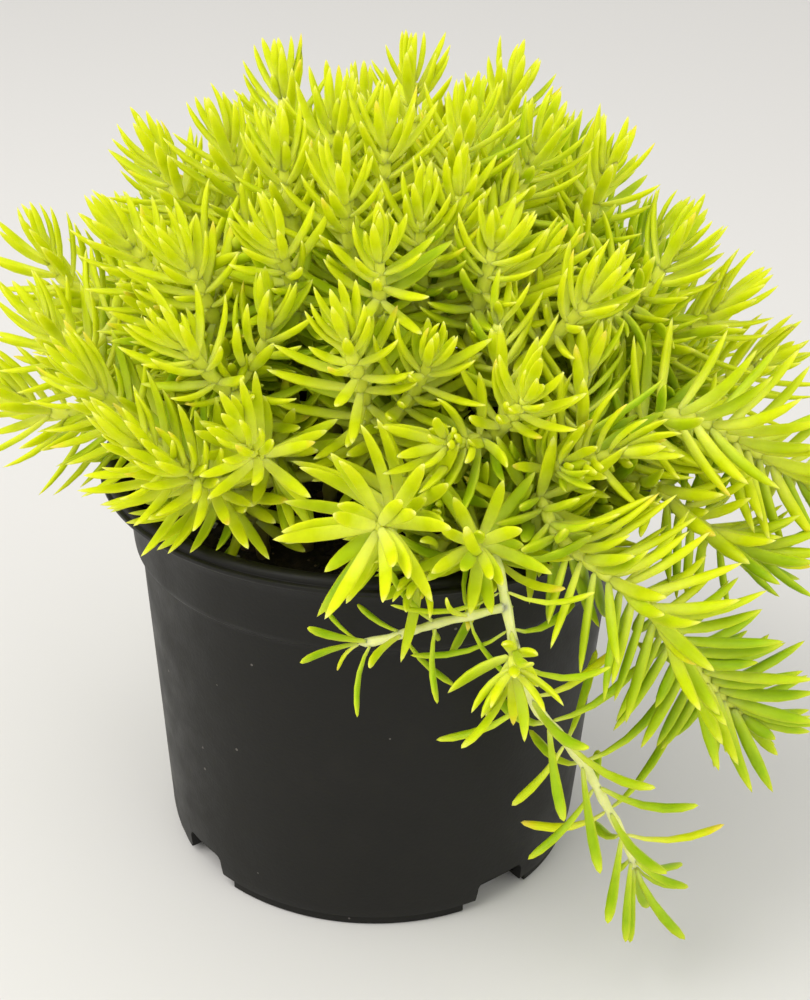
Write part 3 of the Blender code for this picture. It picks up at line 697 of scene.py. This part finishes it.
def spiral_heads(reach, lowest):
    """Evenly spread places over the dome, each with the way that a head there points."""
    low = sin(radians(lowest))
    high = sin(radians(SPIRAL_HIGHEST))
    for number in range(SPIRAL_COUNT):
        rise = high - (high - low) * (number + 0.5) / SPIRAL_COUNT
        elevation = degrees(asin(rise))
        azimuth = (number * GOLDEN_ANGLE) % 360
        lift_share = HEAD_LIFT * min(elevation / FULL_LIFT_ELEVATION, 1)
        yield azimuth, elevation, reach, azimuth, elevation + lift_share * (90 - elevation)


def with_room(heads, reach, lowest, room):
    """Add heads wherever the dome is bare."""
    heads = list(heads)
    spots = [head_spot(head) for head in heads] + TRAILER_SPOTS
    for head in spiral_heads(reach, lowest):
        spot = head_spot(head)
        if min((spot - other).length for other in spots) > room:
            heads.append(head)
            spots.append(spot)
    return heads


def paired_heads(heads):
    """Join each head with its nearest free neighbour, the higher first, or leave it alone."""
    spots = [head_spot(head) for head in heads]
    pairs = sorted(((spots[first] - spots[second]).length, first, second)
                   for second in range(len(heads)) for first in range(second))
    taken = set()
    groups = []
    for distance, first, second in pairs:
        if distance < PAIR_DISTANCE and first not in taken and second not in taken:
            taken.update((first, second))
            order = sorted((first, second), key=lambda index: -spots[index].z)
            groups.append([heads[index] for index in order])
    return groups + [[head] for index, head in enumerate(heads) if index not in taken]


def root_places(groups):
    """Where each stem leaves the soil: under its heads, then eased apart."""
    places = []
    for group in groups:
        under = [np.array(around(head[0])[:2]) * ROOT_SPREAD
                 * (1 - head[1] / 90) ** ROOT_CROWDING for head in group]
        places.append(sum(under) / len(under))
    fixed = [np.array(shoots[0][-1][0][:2], float) for _, shoots in TRAILERS]
    for _ in range(EASING_ROUNDS):
        for index, place in enumerate(places):
            push = np.zeros(2)
            for other_index, other in enumerate(places + fixed):
                apart = place - other
                distance = float(np.hypot(*apart))
                if other_index != index and distance < ROOT_PITCH:
                    excess = (ROOT_PITCH - distance) / max(distance, 1e-6)
                    push += apart * excess * EASING_STEP
            place = place + push
            reach = float(np.hypot(*place))
            places[index] = place * min(1, ROOT_SPREAD / max(reach, 1e-6))
    return places


def foot_and_collar(x, y):
    """A stem's lowest point in the soil, and the point where it clears the soil."""
    top = soil_height(x, y)
    foot = Vector((x, y, top - HOLE_DEPTH + HOLE_ROOM))
    return foot, Vector((x, y, top + COLLAR_ABOVE_SOIL))


def head_shoot(head, start, along, foot=None):
    """A shoot that leaves one way and arrives at a head, pointing as the head points."""
    tip = head_spot(head)
    run = (tip - start).length
    ends = (start, start + along * (run * LEAVING_SHARE),
            tip - pointing(*head[3:]) * (run * ARRIVING_SHARE), tip)
    shoot = Shoot(arching, ends, foot)
    shoot.leaf_length += LOW_HEAD_GROWTH * max(1 - head[1] / LOW_HEAD_ELEVATION, 0)
    if head == STAR_HEAD:
        shoot.form = "star"
        shoot.leaf_length = STAR_LEAF_LENGTH
    return shoot


def trailing_stems():
    """The long stems, along the points chosen for each."""
    stems = {}
    for name, plans in TRAILERS:
        shoots = []
        for form, bare, leaf_length, spacing, radius, way in plans:
            points = [Vector(point) for point in way]
            foot = None
            if shoots:
                points[0] = shoots[0].nearest(points[0])
            else:
                foot, points[0] = foot_and_collar(points[0].x, points[0].y)
            shoot = Shoot(smooth_through, points, foot)
            shoot.trails = True
            shoot.leafy = shoot.length - bare * BARE_SHARE
            shoot.form, shoot.base_radius = form, radius
            shoot.leaf_length, shoot.spacing = leaf_length, spacing
            shoots.append(shoot)
        stems[name] = shoots
    return stems


def upright_stems():
    """The stems under the dome, most of them forked."""
    stems = {}
    heads = with_room(HEADS, DOME_REACH, SPIRAL_LOWEST, HEAD_ROOM)
    groups = paired_heads(heads)
    for number, (group, root) in enumerate(zip(groups, root_places(groups)), 1):
        foot, start = foot_and_collar(*root)
        trunk = head_shoot(group[0], start, UP, foot)
        fork, along, _ = trunk.at(trunk.length * FORK_SHARE)
        arms = [head_shoot(head, fork, along) for head in group[1:]]
        stems[f"stem_{number:02d}"] = [trunk, *arms]
    return stems, heads


def add_fillers(stems, heads):
    """Shorter side heads on the nearest trunks, so that the dome closes."""
    carriers = [(name, shoots[0]) for name, shoots in stems.items() if not shoots[0].trails]
    for reach, room in FILLER_SHELLS:
        known = len(heads)
        heads = with_room(heads, reach, FILLER_LOWEST, room)
        for head in heads[known:]:
            azimuth, elevation, *_ = head
            over_rim = BARE_RIM[0] < (azimuth + 180) % 360 - 180 < BARE_RIM[1]
            if over_rim and elevation < FRONT_FILLER_LOWEST:
                continue
            spot = head_spot(head)
            choices = []
            for name, shoot in carriers:
                for share in FILLER_FORKS:
                    point, along, _ = shoot.at(shoot.length * share)
                    reach_out = (spot - point).length
                    if reach_out > FILLER_LEAST_RUN and spot.z > point.z:
                        choices.append((reach_out, name, point, along))
            if choices:
                _, name, point, along = min(choices, key=lambda choice: choice[0])
                shoot = head_shoot(head, point, along)
                shoot.base_radius = FILLER_RADIUS
                shoot.leafy = min(shoot.leafy, shoot.length - FILLER_BARE)
                stems[name].append(shoot)


# Leaves. Fleshy needles, flat above and round below, widest past the middle, set in whorls
# that close to a bud at the tip and open level lower down; each root is fused to its stem.
LEAF_SEGMENTS = 8
# Share of the length, and half width as a share of the leaf's width, ring by ring: strap
# leaves taper at both ends, club leaves widen up to a blunt round end
STRAP_RINGS = ((0.0, 0.24), (0.05, 0.3), (0.2, 0.41), (0.42, 0.48), (0.65, 0.465),
               (0.83, 0.34), (0.945, 0.16), (1.0, 0.0))
CLUB_RINGS = ((0.0, 0.17), (0.05, 0.2), (0.22, 0.27), (0.46, 0.38), (0.68, 0.47),
              (0.86, 0.45), (0.96, 0.27), (1.0, 0.0))
TOP_FULLNESS = 0.36
KEEL_FULLNESS = 0.8
LEAF_ROOT_INSET = 0.5
# Each form of leaf: its rings, width in mm, leaves in a whorl, least and most bend, and sag
LEAF_FORMS = {
    "head": (STRAP_RINGS, 2.4, 5, (0.04, 0.24), 0.1),
    "star": (STRAP_RINGS, 2.8, 7, (0.06, 0.22), 0.1),
    "long": (STRAP_RINGS, 2.8, 5, (0.04, 0.3), 0.1),
    "whorl": (STRAP_RINGS, 2.6, 5, (0.05, 0.22), 0.1),
    "club": (CLUB_RINGS, 2.3, 3, (0.14, 0.34), 0.34),
    "hook": (CLUB_RINGS, 1.9, 3, (-0.55, -0.3), 0),
}
# How its leaves open and lengthen away from a tip: the spread at the tip and its gain in
# degrees, the run over which it grows, the share of full length at the tip and its run
LEAF_HABITS = {
    "head": (15, 72, 12, 0.6, 6),
    "star": (26, 62, 8, 0.92, 5),
    "long": (20, 42, 8, 0.8, 6),
    "whorl": (30, 50, 4, 0.8, 5),
    "club": (16, 56, 7, 0.9, 5),
    "hook": (26, 42, 5, 0.8, 5),
}
# Forms whose first two whorls crowd into a tuft of this many leaves each
TUFTED = {"club": 4, "long": 4, "hook": 3, "whorl": 4}
TUFT_GAP = 0.32
TUFT_WHORLS = 2
BUD_LEAVES = 3
FIRST_WHORL = 0.6
FOOT_BARE = 3
BARE_INSIDE = 33
# Whorls on a head stand closer near its tip: the first gap, its gain and the widest, as
# shares of the spacing
OPENING = (0.6, 0.12, 1.2)
# Least and most of what varies from leaf to leaf, as shares of the full size; a few leaves
# are stunted, and each turns and spreads by up to so many degrees
LENGTH_VARIES = (0.84, 1.08)
WIDTH_VARIES = (0.88, 1.06)
STUNTED_SHARE = 0.1
STUNTED_LENGTH = (0.5, 0.75)
TURN_VARIES = 16
SPREAD_VARIES = 9
CURL_MOST = 0.07
# The runs in mm over which leaves age, on a head and on a long stem
HEAD_AGEING = 60
TRAILER_AGEING = 150
# Balls along a leaf stand for it when it is kept clear of others; the first are its root
BALL_PLACES = np.linspace(0.12, 0.97, 8)
BALL_SHARE = 0.42
LEAST_BALL = 0.2
ROOT_BALLS = 3
MOST_BALLS = 90_000
# A leaf is tried again with a little more swing and tilt each time, and a little shorter
LEAF_TRIALS = 14
TRIAL_SWING = 0.07
TRIAL_TILT = 0.06
TRIAL_SHORTENING = 0.028
NEARBY = 4
CLEARANCE = 0.12
OWN_OVERLAP = 0.5
STEM_BALL_PITCH = 1.6
# What leaves stay clear of: the ground, the soil, and the lip outside its bore
GROUND_ROOM = 1.6
SOIL_TOP = SOIL_EDGE_HEIGHT + SOIL_CROWN - 1
LIP_BORE = 52.5
LIP_UNDERSIDE = 84
COLLAR_RADIUS = 53.8
# A stem swells at each whorl, and browns over the soil, up to this height above it
NODE_SWELL = 0.24
RINGS_A_WHORL = 4
STEM_AGEING_HEIGHT = 30
STEM_AGEING_REACH = 50
# How much light goes into the flesh of leaves and stems, and how deep, in metres
FLESH_WEIGHT = 0.7
FLESH_DEPTH = 0.0024


def leaf_model(name, rings):
    """A leaf from which others are copied: a unit long, along X, its top towards +Z."""
    model = started(name, bpy.ops.mesh.primitive_uv_sphere_add, segments=LEAF_SEGMENTS,
                    ring_count=len(rings) - 1, radius=1)
    shade = model.data.attributes.new("leaf_shade", "FLOAT_COLOR", "POINT")
    heights = sorted({round(corner.co.z, 4) for corner in model.data.vertices})
    for corner, colour in zip(model.data.vertices, shade.data):
        along, half = rings[heights.index(round(corner.co.z, 4))]
        turn = atan2(corner.co.y, corner.co.x)
        rise = sin(turn)
        fullness = TOP_FULLNESS if rise > 0 else KEEL_FULLNESS
        if half == 0 or hypot(corner.co.x, corner.co.y) < 1e-4:
            corner.co = (along, 0, 0)
        else:
            corner.co = (along, half * cos(turn), half * rise * fullness)
        # The fourth value is nearness to the leaf's edge, where a glow is painted
        colour.color = (along, 0, 0, cos(turn) ** 2)
    close_up(1e-6)
    bpy.ops.object.shade_smooth()
    return model


class Crowd:
    """Balls along every piece placed so far, to keep new leaves clear of them."""

    def __init__(self, most):
        self.balls = np.zeros((most, 4))
        self.owners = np.zeros(most, dtype=int)
        self.count = 0

    def add(self, owner, balls):
        """Add one piece's balls: centres and radii."""
        end = self.count + len(balls)
        self.balls[self.count:end] = balls
        self.owners[self.count:end] = owner
        self.count = end

    def near(self, point, reach):
        """The balls around a point, and their owners."""
        balls = self.balls[:self.count]
        close = (np.abs(balls[:, :3] - np.array(point)) < reach).all(axis=1)
        return balls[close], self.owners[:self.count][close]


def least_room(balls, others):
    """The least distance between two sets of balls."""
    if not len(balls) or not len(others):
        return inf
    apart = np.linalg.norm(balls[:, None, :3] - others[None, :, :3], axis=2)
    return float((apart - balls[:, None, 3] - others[None, :, 3]).min())


def clear_of_pot(balls):
    """Whether balls stay off the pot, the soil and the ground."""
    for x, y, z, radius in balls:
        out = hypot(x, y)
        reach = radius + CLEARANCE
        if z < GROUND_ROOM + reach:
            return False
        if z > LIP_HEIGHT + reach or out > LIP_RADIUS + reach:
            continue
        inside = out < LIP_BORE - reach
        if inside and z < SOIL_TOP + reach:
            return False
        if not inside and not (z < LIP_UNDERSIDE - reach and out > COLLAR_RADIUS + reach):
            return False
    return True


class Leaf:
    """One leaf's place, size and bend, in mm."""

    def __init__(self, root, turn, spread, length, width, bend, curl, form):
        point, along, side = root
        side = Matrix.Rotation(turn, 3, along) @ side
        out = along * cos(spread) + side * sin(spread)
        across = along.cross(side)
        self.axes = Matrix((out, across, out.cross(across))).transposed()
        hangs = form in ("club", "long")
        self.lift = UP - out * out.z if hangs else self.axes.col[2]
        self.rings, _, _, _, self.sag = LEAF_FORMS[form]
        self.root = point + out * LEAF_ROOT_INSET
        self.length, self.width = length, width
        self.bend, self.curl = bend, curl

    def place(self, along, across, up):
        """A point of the leaf, given along it and off its middle line."""
        far = along * self.length
        bow = self.length * (self.bend * along ** 2 - self.sag * along * (1 - along))
        swing = self.curl * self.length * along ** 2
        return self.root + self.axes @ Vector((far, across + swing, up)) + self.lift * bow

    def balls(self):
        """Balls along the leaf."""
        rows = []
        for along in BALL_PLACES:
            half = np.interp(along, *zip(*self.rings))
            radius = max(half * 2 * self.width * BALL_SHARE, LEAST_BALL)
            rows.append((*self.place(along, 0, 0), radius))
        return np.array(rows)


def leaf_habit(shoot, from_tip, chance):
    """Spread, length, width and bend of a leaf by its distance from the shoot's tip."""
    tip_spread, gain, spread_run, tip_share, length_run = LEAF_HABITS[shoot.form]
    _, full_width, _, bends, _ = LEAF_FORMS[shoot.form]
    spread = tip_spread + gain * (1 - exp(-from_tip / spread_run))
    share = tip_share + (1 - tip_share) * (1 - exp(-from_tip / length_run))
    length = shoot.leaf_length * share * chance.uniform(*LENGTH_VARIES)
    if chance.random() < STUNTED_SHARE:
        length *= chance.uniform(*STUNTED_LENGTH)
    width = full_width * (0.5 + 0.5 * share) * chance.uniform(*WIDTH_VARIES)
    bend = chance.uniform(*bends)
    spread += chance.uniform(-SPREAD_VARIES, SPREAD_VARIES)
    return radians(spread), length, width, bend


def placed_leaf(root, turn, habit, form, owner, crowd, chance):
    """One leaf, swung, tilted or shortened a little more each time until it is clear."""
    spread, length, width, bend = habit
    others, owners = crowd.near(root[0], length + NEARBY)
    strangers = others[owners != owner]
    own = others[owners == owner]
    curl = chance.uniform(-CURL_MOST, CURL_MOST)
    for trial in range(LEAF_TRIALS):
        swing = chance.uniform(-1, 1) * TRIAL_SWING * trial
        tilt = chance.uniform(-1, 1) * TRIAL_TILT * trial
        size = length * (1 - TRIAL_SHORTENING * trial)
        leaf = Leaf(root, turn + swing, spread + tilt, size, width, bend, curl, form)
        balls = leaf.balls()
        if (least_room(balls, strangers) >= CLEARANCE
                and least_room(balls[ROOT_BALLS:], own) >= -OWN_OVERLAP
                and clear_of_pot(balls)):
            crowd.add(owner, balls)
            return leaf
    return None


def leafed(shoot, owner, crowd, chance):
    """All of a shoot's leaves, each with its age."""
    leaves = []
    from_tip = FIRST_WHORL
    start = chance.uniform(0, 360)
    number = 0
    tuft = TUFTED.get(shoot.form, 0)
    whorl = LEAF_FORMS[shoot.form][2]
    ageing = TRAILER_AGEING if shoot.trails else HEAD_AGEING
    while from_tip < min(shoot.leafy, shoot.length - FOOT_BARE):
        root = shoot.at(shoot.length - from_tip)
        if shoot.trails or (root[0] - DOME_CENTRE).length > BARE_INSIDE:
            members = BUD_LEAVES if number == 0 else whorl
            if tuft and number < TUFT_WHORLS:
                members = tuft
            for member in range(members):
                turn = start + number * GOLDEN_ANGLE / 2 + 360 * member / members
                turn += chance.uniform(-TURN_VARIES, TURN_VARIES)
                habit = leaf_habit(shoot, from_tip, chance)
                leaf = placed_leaf(root, radians(turn), habit, shoot.form, owner,
                                   crowd, chance)
                if leaf:
                    leaves.append((leaf, min(from_tip / ageing, 1)))
        if shoot.trails:
            opening = TUFT_GAP if number == 0 else 1
        else:
            opening = min(OPENING[0] + OPENING[1] * number, OPENING[2])
        from_tip += shoot.spacing * opening
        number += 1
    return leaves


def leaf_copy(models, leaf, age, tint):
    """A model leaf, sized, bent and put in its place, with its colours' values on it."""
    mesh = models[leaf.rings].data.copy()
    for corner, colour in zip(mesh.vertices, mesh.attributes["leaf_shade"].data):
        along = corner.co.x
        across, up = corner.co.y * leaf.width, corner.co.z * leaf.width
        corner.co = leaf.place(along, across, up) * MM
        colour.color = (along, age, tint, colour.color[3])
    return placed_in_scene("leaf", mesh)


def stem_tube(name, shoot):
    """A shoot as a tube that swells a little at every whorl, its colours' values on it."""
    points, radii = [], []
    distance = 0
    while distance < shoot.length:
        swell = NODE_SWELL * (0.5 + 0.5 * cos(tau * distance / shoot.spacing))
        points.append(shoot.at(distance)[0] * MM)
        radii.append((shoot.radius(distance) + swell) * MM)
        distance += shoot.spacing / RINGS_A_WHORL
    points.append(shoot.points[-1] * MM)
    radii.append(TIP_RADIUS * 0.5 * MM)
    thing = tube(name, points, radii, 2)
    shade = thing.data.attributes.new("leaf_shade", "FLOAT_COLOR", "POINT")
    for corner, colour in zip(thing.data.vertices, shade.data):
        height = (corner.co.z / MM - SOIL_EDGE_HEIGHT) / STEM_AGEING_HEIGHT
        over_soil = hypot(corner.co.x, corner.co.y) < STEM_AGEING_REACH * MM
        age = 1 - min(max(height, 0), 1) if over_soil else 0
        colour.color = (0, age, 1 if shoot.form in ("club", "hook") else 0, 0)
    return thing


def shade_values(tree):
    """What each leaf and stem carries: share along it, age, tint (with painted shade) and
    nearness to an edge.
    """
    given = add(tree, "Attribute", {}, attribute_name="leaf_shade")
    parts = add(tree, "SeparateColor", {"Color": given["Color"]})
    return parts["Red"], parts["Green"], parts["Blue"], given["Alpha"]


def flesh(tree, colour, mottle, shading, radius):
    """A softly mottled colour, with light that goes some way into the flesh."""
    shade = spread_of(tree, mottle, *shading)
    colour = add(tree, "VectorMath", {0: colour, "Scale": shade}, operation="SCALE")
    return {"Base Color": colour["Vector"], "Subsurface Weight": FLESH_WEIGHT,
            "Subsurface Radius": radius, "Subsurface Scale": FLESH_DEPTH}


def leaf_green():
    """Fleshy chartreuse leaf: pale at its root, lighter and now and then orange at its tip."""
    finish, tree = new_material("sedum_leaf")
    along, age, tint, edge = shade_values(tree)
    young = ramp(tree, along, (
        (0.0, (0.92, 0.95, 0.28)), (0.22, (0.8, 0.86, 0.11)), (0.6, (0.62, 0.71, 0.002)),
        (0.88, (0.67, 0.745, 0.008)), (1.0, (0.86, 0.85, 0.2))))
    # A darker green: partly the greener tone of some leaves, partly painted shade inside,
    # behind, right and low
    green = ramp(tree, along, (
        (0.0, (0.68, 0.77, 0.2)), (0.22, (0.43, 0.58, 0.022)),
        (0.75, (0.275, 0.45, 0.002)), (1.0, (0.47, 0.57, 0.02))))
    old = ramp(tree, along, (
        (0.0, (0.78, 0.78, 0.3)), (0.4, (0.62, 0.66, 0.03)), (0.9, (0.68, 0.62, 0.09)),
        (1.0, (0.78, 0.58, 0.18))))
    # Leaves mix towards the darker green by their tint, which carries the painted shade
    colour = blended(tree, spread_of(tree, tint, 0, 0.95, 0.5, 1.0), young, green)
    colour = blended(tree, spread_of(tree, age, 0, 0.75, 0.55, 1.0), colour, old)
    tip = spread_of(tree, along, 0, 1, 0.8, 1.0)
    few = spread_of(tree, tint, 0.85, 0, 0.0, 0.09)
    flushed = add(tree, "Math", {0: tip, 1: few}, operation="MULTIPLY")[0]
    colour = blended(tree, flushed, colour, (0.9, 0.42, 0.04))
    # Painted glow: leaf edges are lightened as if light passed through their thin flesh
    rim = spread_of(tree, edge, 0, 0.22, 0.5, 1.0)
    colour = blended(tree, rim, colour, (0.82, 0.87, 0.06))
    mottle, _ = speckled(tree, 330)
    feed_shader(tree, {
        **flesh(tree, colour, mottle, (0.93, 1.07), (1.0, 0.9, 0.12)),
        "Roughness": spread_of(tree, mottle, 0.44, 0.58),
        "Specular IOR Level": 0.2,
        "Normal": bumped(tree, mottle, 0.12, 0.0003),
    })
    return finish


def stem_green():
    """Smooth pale green stem, browner near the soil, palest where it hangs over the lip."""
    finish, tree = new_material("sedum_stem")
    _, age, hanging, _ = shade_values(tree)
    colour = ramp(tree, age, (
        (0.0, (0.88, 0.95, 0.12)), (0.35, (0.8, 0.86, 0.1)), (0.75, (0.4, 0.36, 0.1)),
        (1.0, (0.14, 0.09, 0.05))))
    colour = blended(tree, hanging, colour, (0.9, 0.94, 0.34))
    mottle, _ = speckled(tree, 260)
    feed_shader(tree, {
        **flesh(tree, colour, mottle, (0.86, 1.12), (1.0, 0.95, 0.3)),
        "Roughness": 0.45,
        "Normal": bumped(tree, mottle, 0.25, 0.0004),
    })
    return finish


# How green leaves are, from 0 to 1: the least, what chance adds, what a place inside the
# dome, at the back, on the right and low down adds as painted shade, a darker green, each
# with the mm where that starts and over which it grows, and what a club leaf adds
LEAST_GREEN = 0.16
CHANCE_GREEN = 0.36
PLACE_GREENS_AND_SHADE = ((0.4, 78, -30), (0.2, -5, 60), (0.22, 5, 40), (0.36, 100, -28))
CLUB_GREEN = 0.24
# Greener and yellower patches over the plant, by size in mm and by strength
PATCH_SIZE = 22
PATCH_STRENGTH = 0.5
# Below the first tint a leaf's tip is flushed orange, and a few leaves have the second
UNFLUSHED_TINT = 0.12
FLUSHED_TINT = 0.02
FLUSHED_SHARE = 0.07


def green_and_shade_of(leaf, chance):
    """How green a leaf is; painted shade makes it darker green at the back, low down, right
    and inside.
    """
    tip = leaf.place(1, 0, 0)
    shade = LEAST_GREEN + CHANCE_GREEN * chance.random()
    places = ((tip - DOME_CENTRE).length, tip.y, tip.x, tip.z)
    # Painted shade: leaves inside the dome, at the back, on the right and low down get a
    # darker green
    for place, (most, start, run) in zip(places, PLACE_GREENS_AND_SHADE):
        shade += most * min(max((place - start) / run, 0), 1)
    shade += CLUB_GREEN if leaf.rings is CLUB_RINGS else 0
    shade = max(shade + PATCH_STRENGTH * noise.noise(tip / PATCH_SIZE), UNFLUSHED_TINT)
    if chance.random() < FLUSHED_SHARE:
        shade = FLUSHED_TINT
    return min(shade, 1)


chance = random.Random(5)
stems = trailing_stems()
uprights, dome_heads = upright_stems()
stems.update(uprights)
add_fillers(stems, dome_heads)
crowd = Crowd(MOST_BALLS)
for owner, shoots in enumerate(stems.values()):
    for shoot in shoots:
        places = np.arange(0, shoot.length, STEM_BALL_PITCH)
        crowd.add(owner, np.array([(*shoot.at(place)[0], shoot.radius(place))
                                   for place in places]))
models = {STRAP_RINGS: leaf_model("strap_leaf_model", STRAP_RINGS),
          CLUB_RINGS: leaf_model("club_leaf_model", CLUB_RINGS)}
green = leaf_green()
for model in models.values():
    coated(model, green)
pale_stem = stem_green()
for owner, (name, shoots) in enumerate(stems.items()):
    leaves = []
    for shoot in shoots:
        leaves += leafed(shoot, owner, crowd, chance)
    tubes = [stem_tube(name + "_arm", shoot) for shoot in shoots]
    for arm in tubes:
        coated(arm, pale_stem)
    copies = [leaf_copy(models, leaf, age, green_and_shade_of(leaf, chance)) for leaf, age in leaves]
    piece = joined("leafy_" + name, tubes + copies)
    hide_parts(name)
    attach(piece, "root")
for model in models.values():
    bpy.data.objects.remove(model)

# Floor and light. A plain pale floor, one broad soft light from above and the left, a
# weaker one from the right, and an even pale surround.
FLOOR_SIZE = 6
LIT_POINT = Vector((0, 0, 0.08))
# Each light's place, size, power and colour
LIGHTS = {
    "key_light": ((-0.55, -0.45, 1.0), 0.8, 8.4, (1.0, 0.985, 0.96)),
    "fill_light": ((0.8, -0.7, 0.6), 0.9, 2.6, (0.97, 0.98, 1.0)),
}

floor = started("floor", bpy.ops.mesh.primitive_plane_add, size=FLOOR_SIZE)
pale, tree = new_material("pale_floor")
feed_shader(tree, {"Base Color": (0.72, 0.71, 0.69), "Roughness": 0.7})
coated(floor, pale)

for name, (place, size, power, colour) in LIGHTS.items():
    lamp = bpy.data.lights.new(name, "AREA")
    lamp.size, lamp.energy, lamp.color = size, power, colour
    light = placed_in_scene(name, lamp)
    light.location = place
    facing = LIT_POINT - Vector(place)
    light.rotation_euler = facing.to_track_quat("-Z", "Y").to_euler()
surround = bpy.data.worlds.new("surround")
surround.use_nodes = True
even_light = {"Color": (1.0, 0.99, 0.97), "Strength": 0.86}
feed_shader(surround.node_tree, even_light, "Background")
bpy.context.scene.world = surround

bpy.context.view_layer.update()
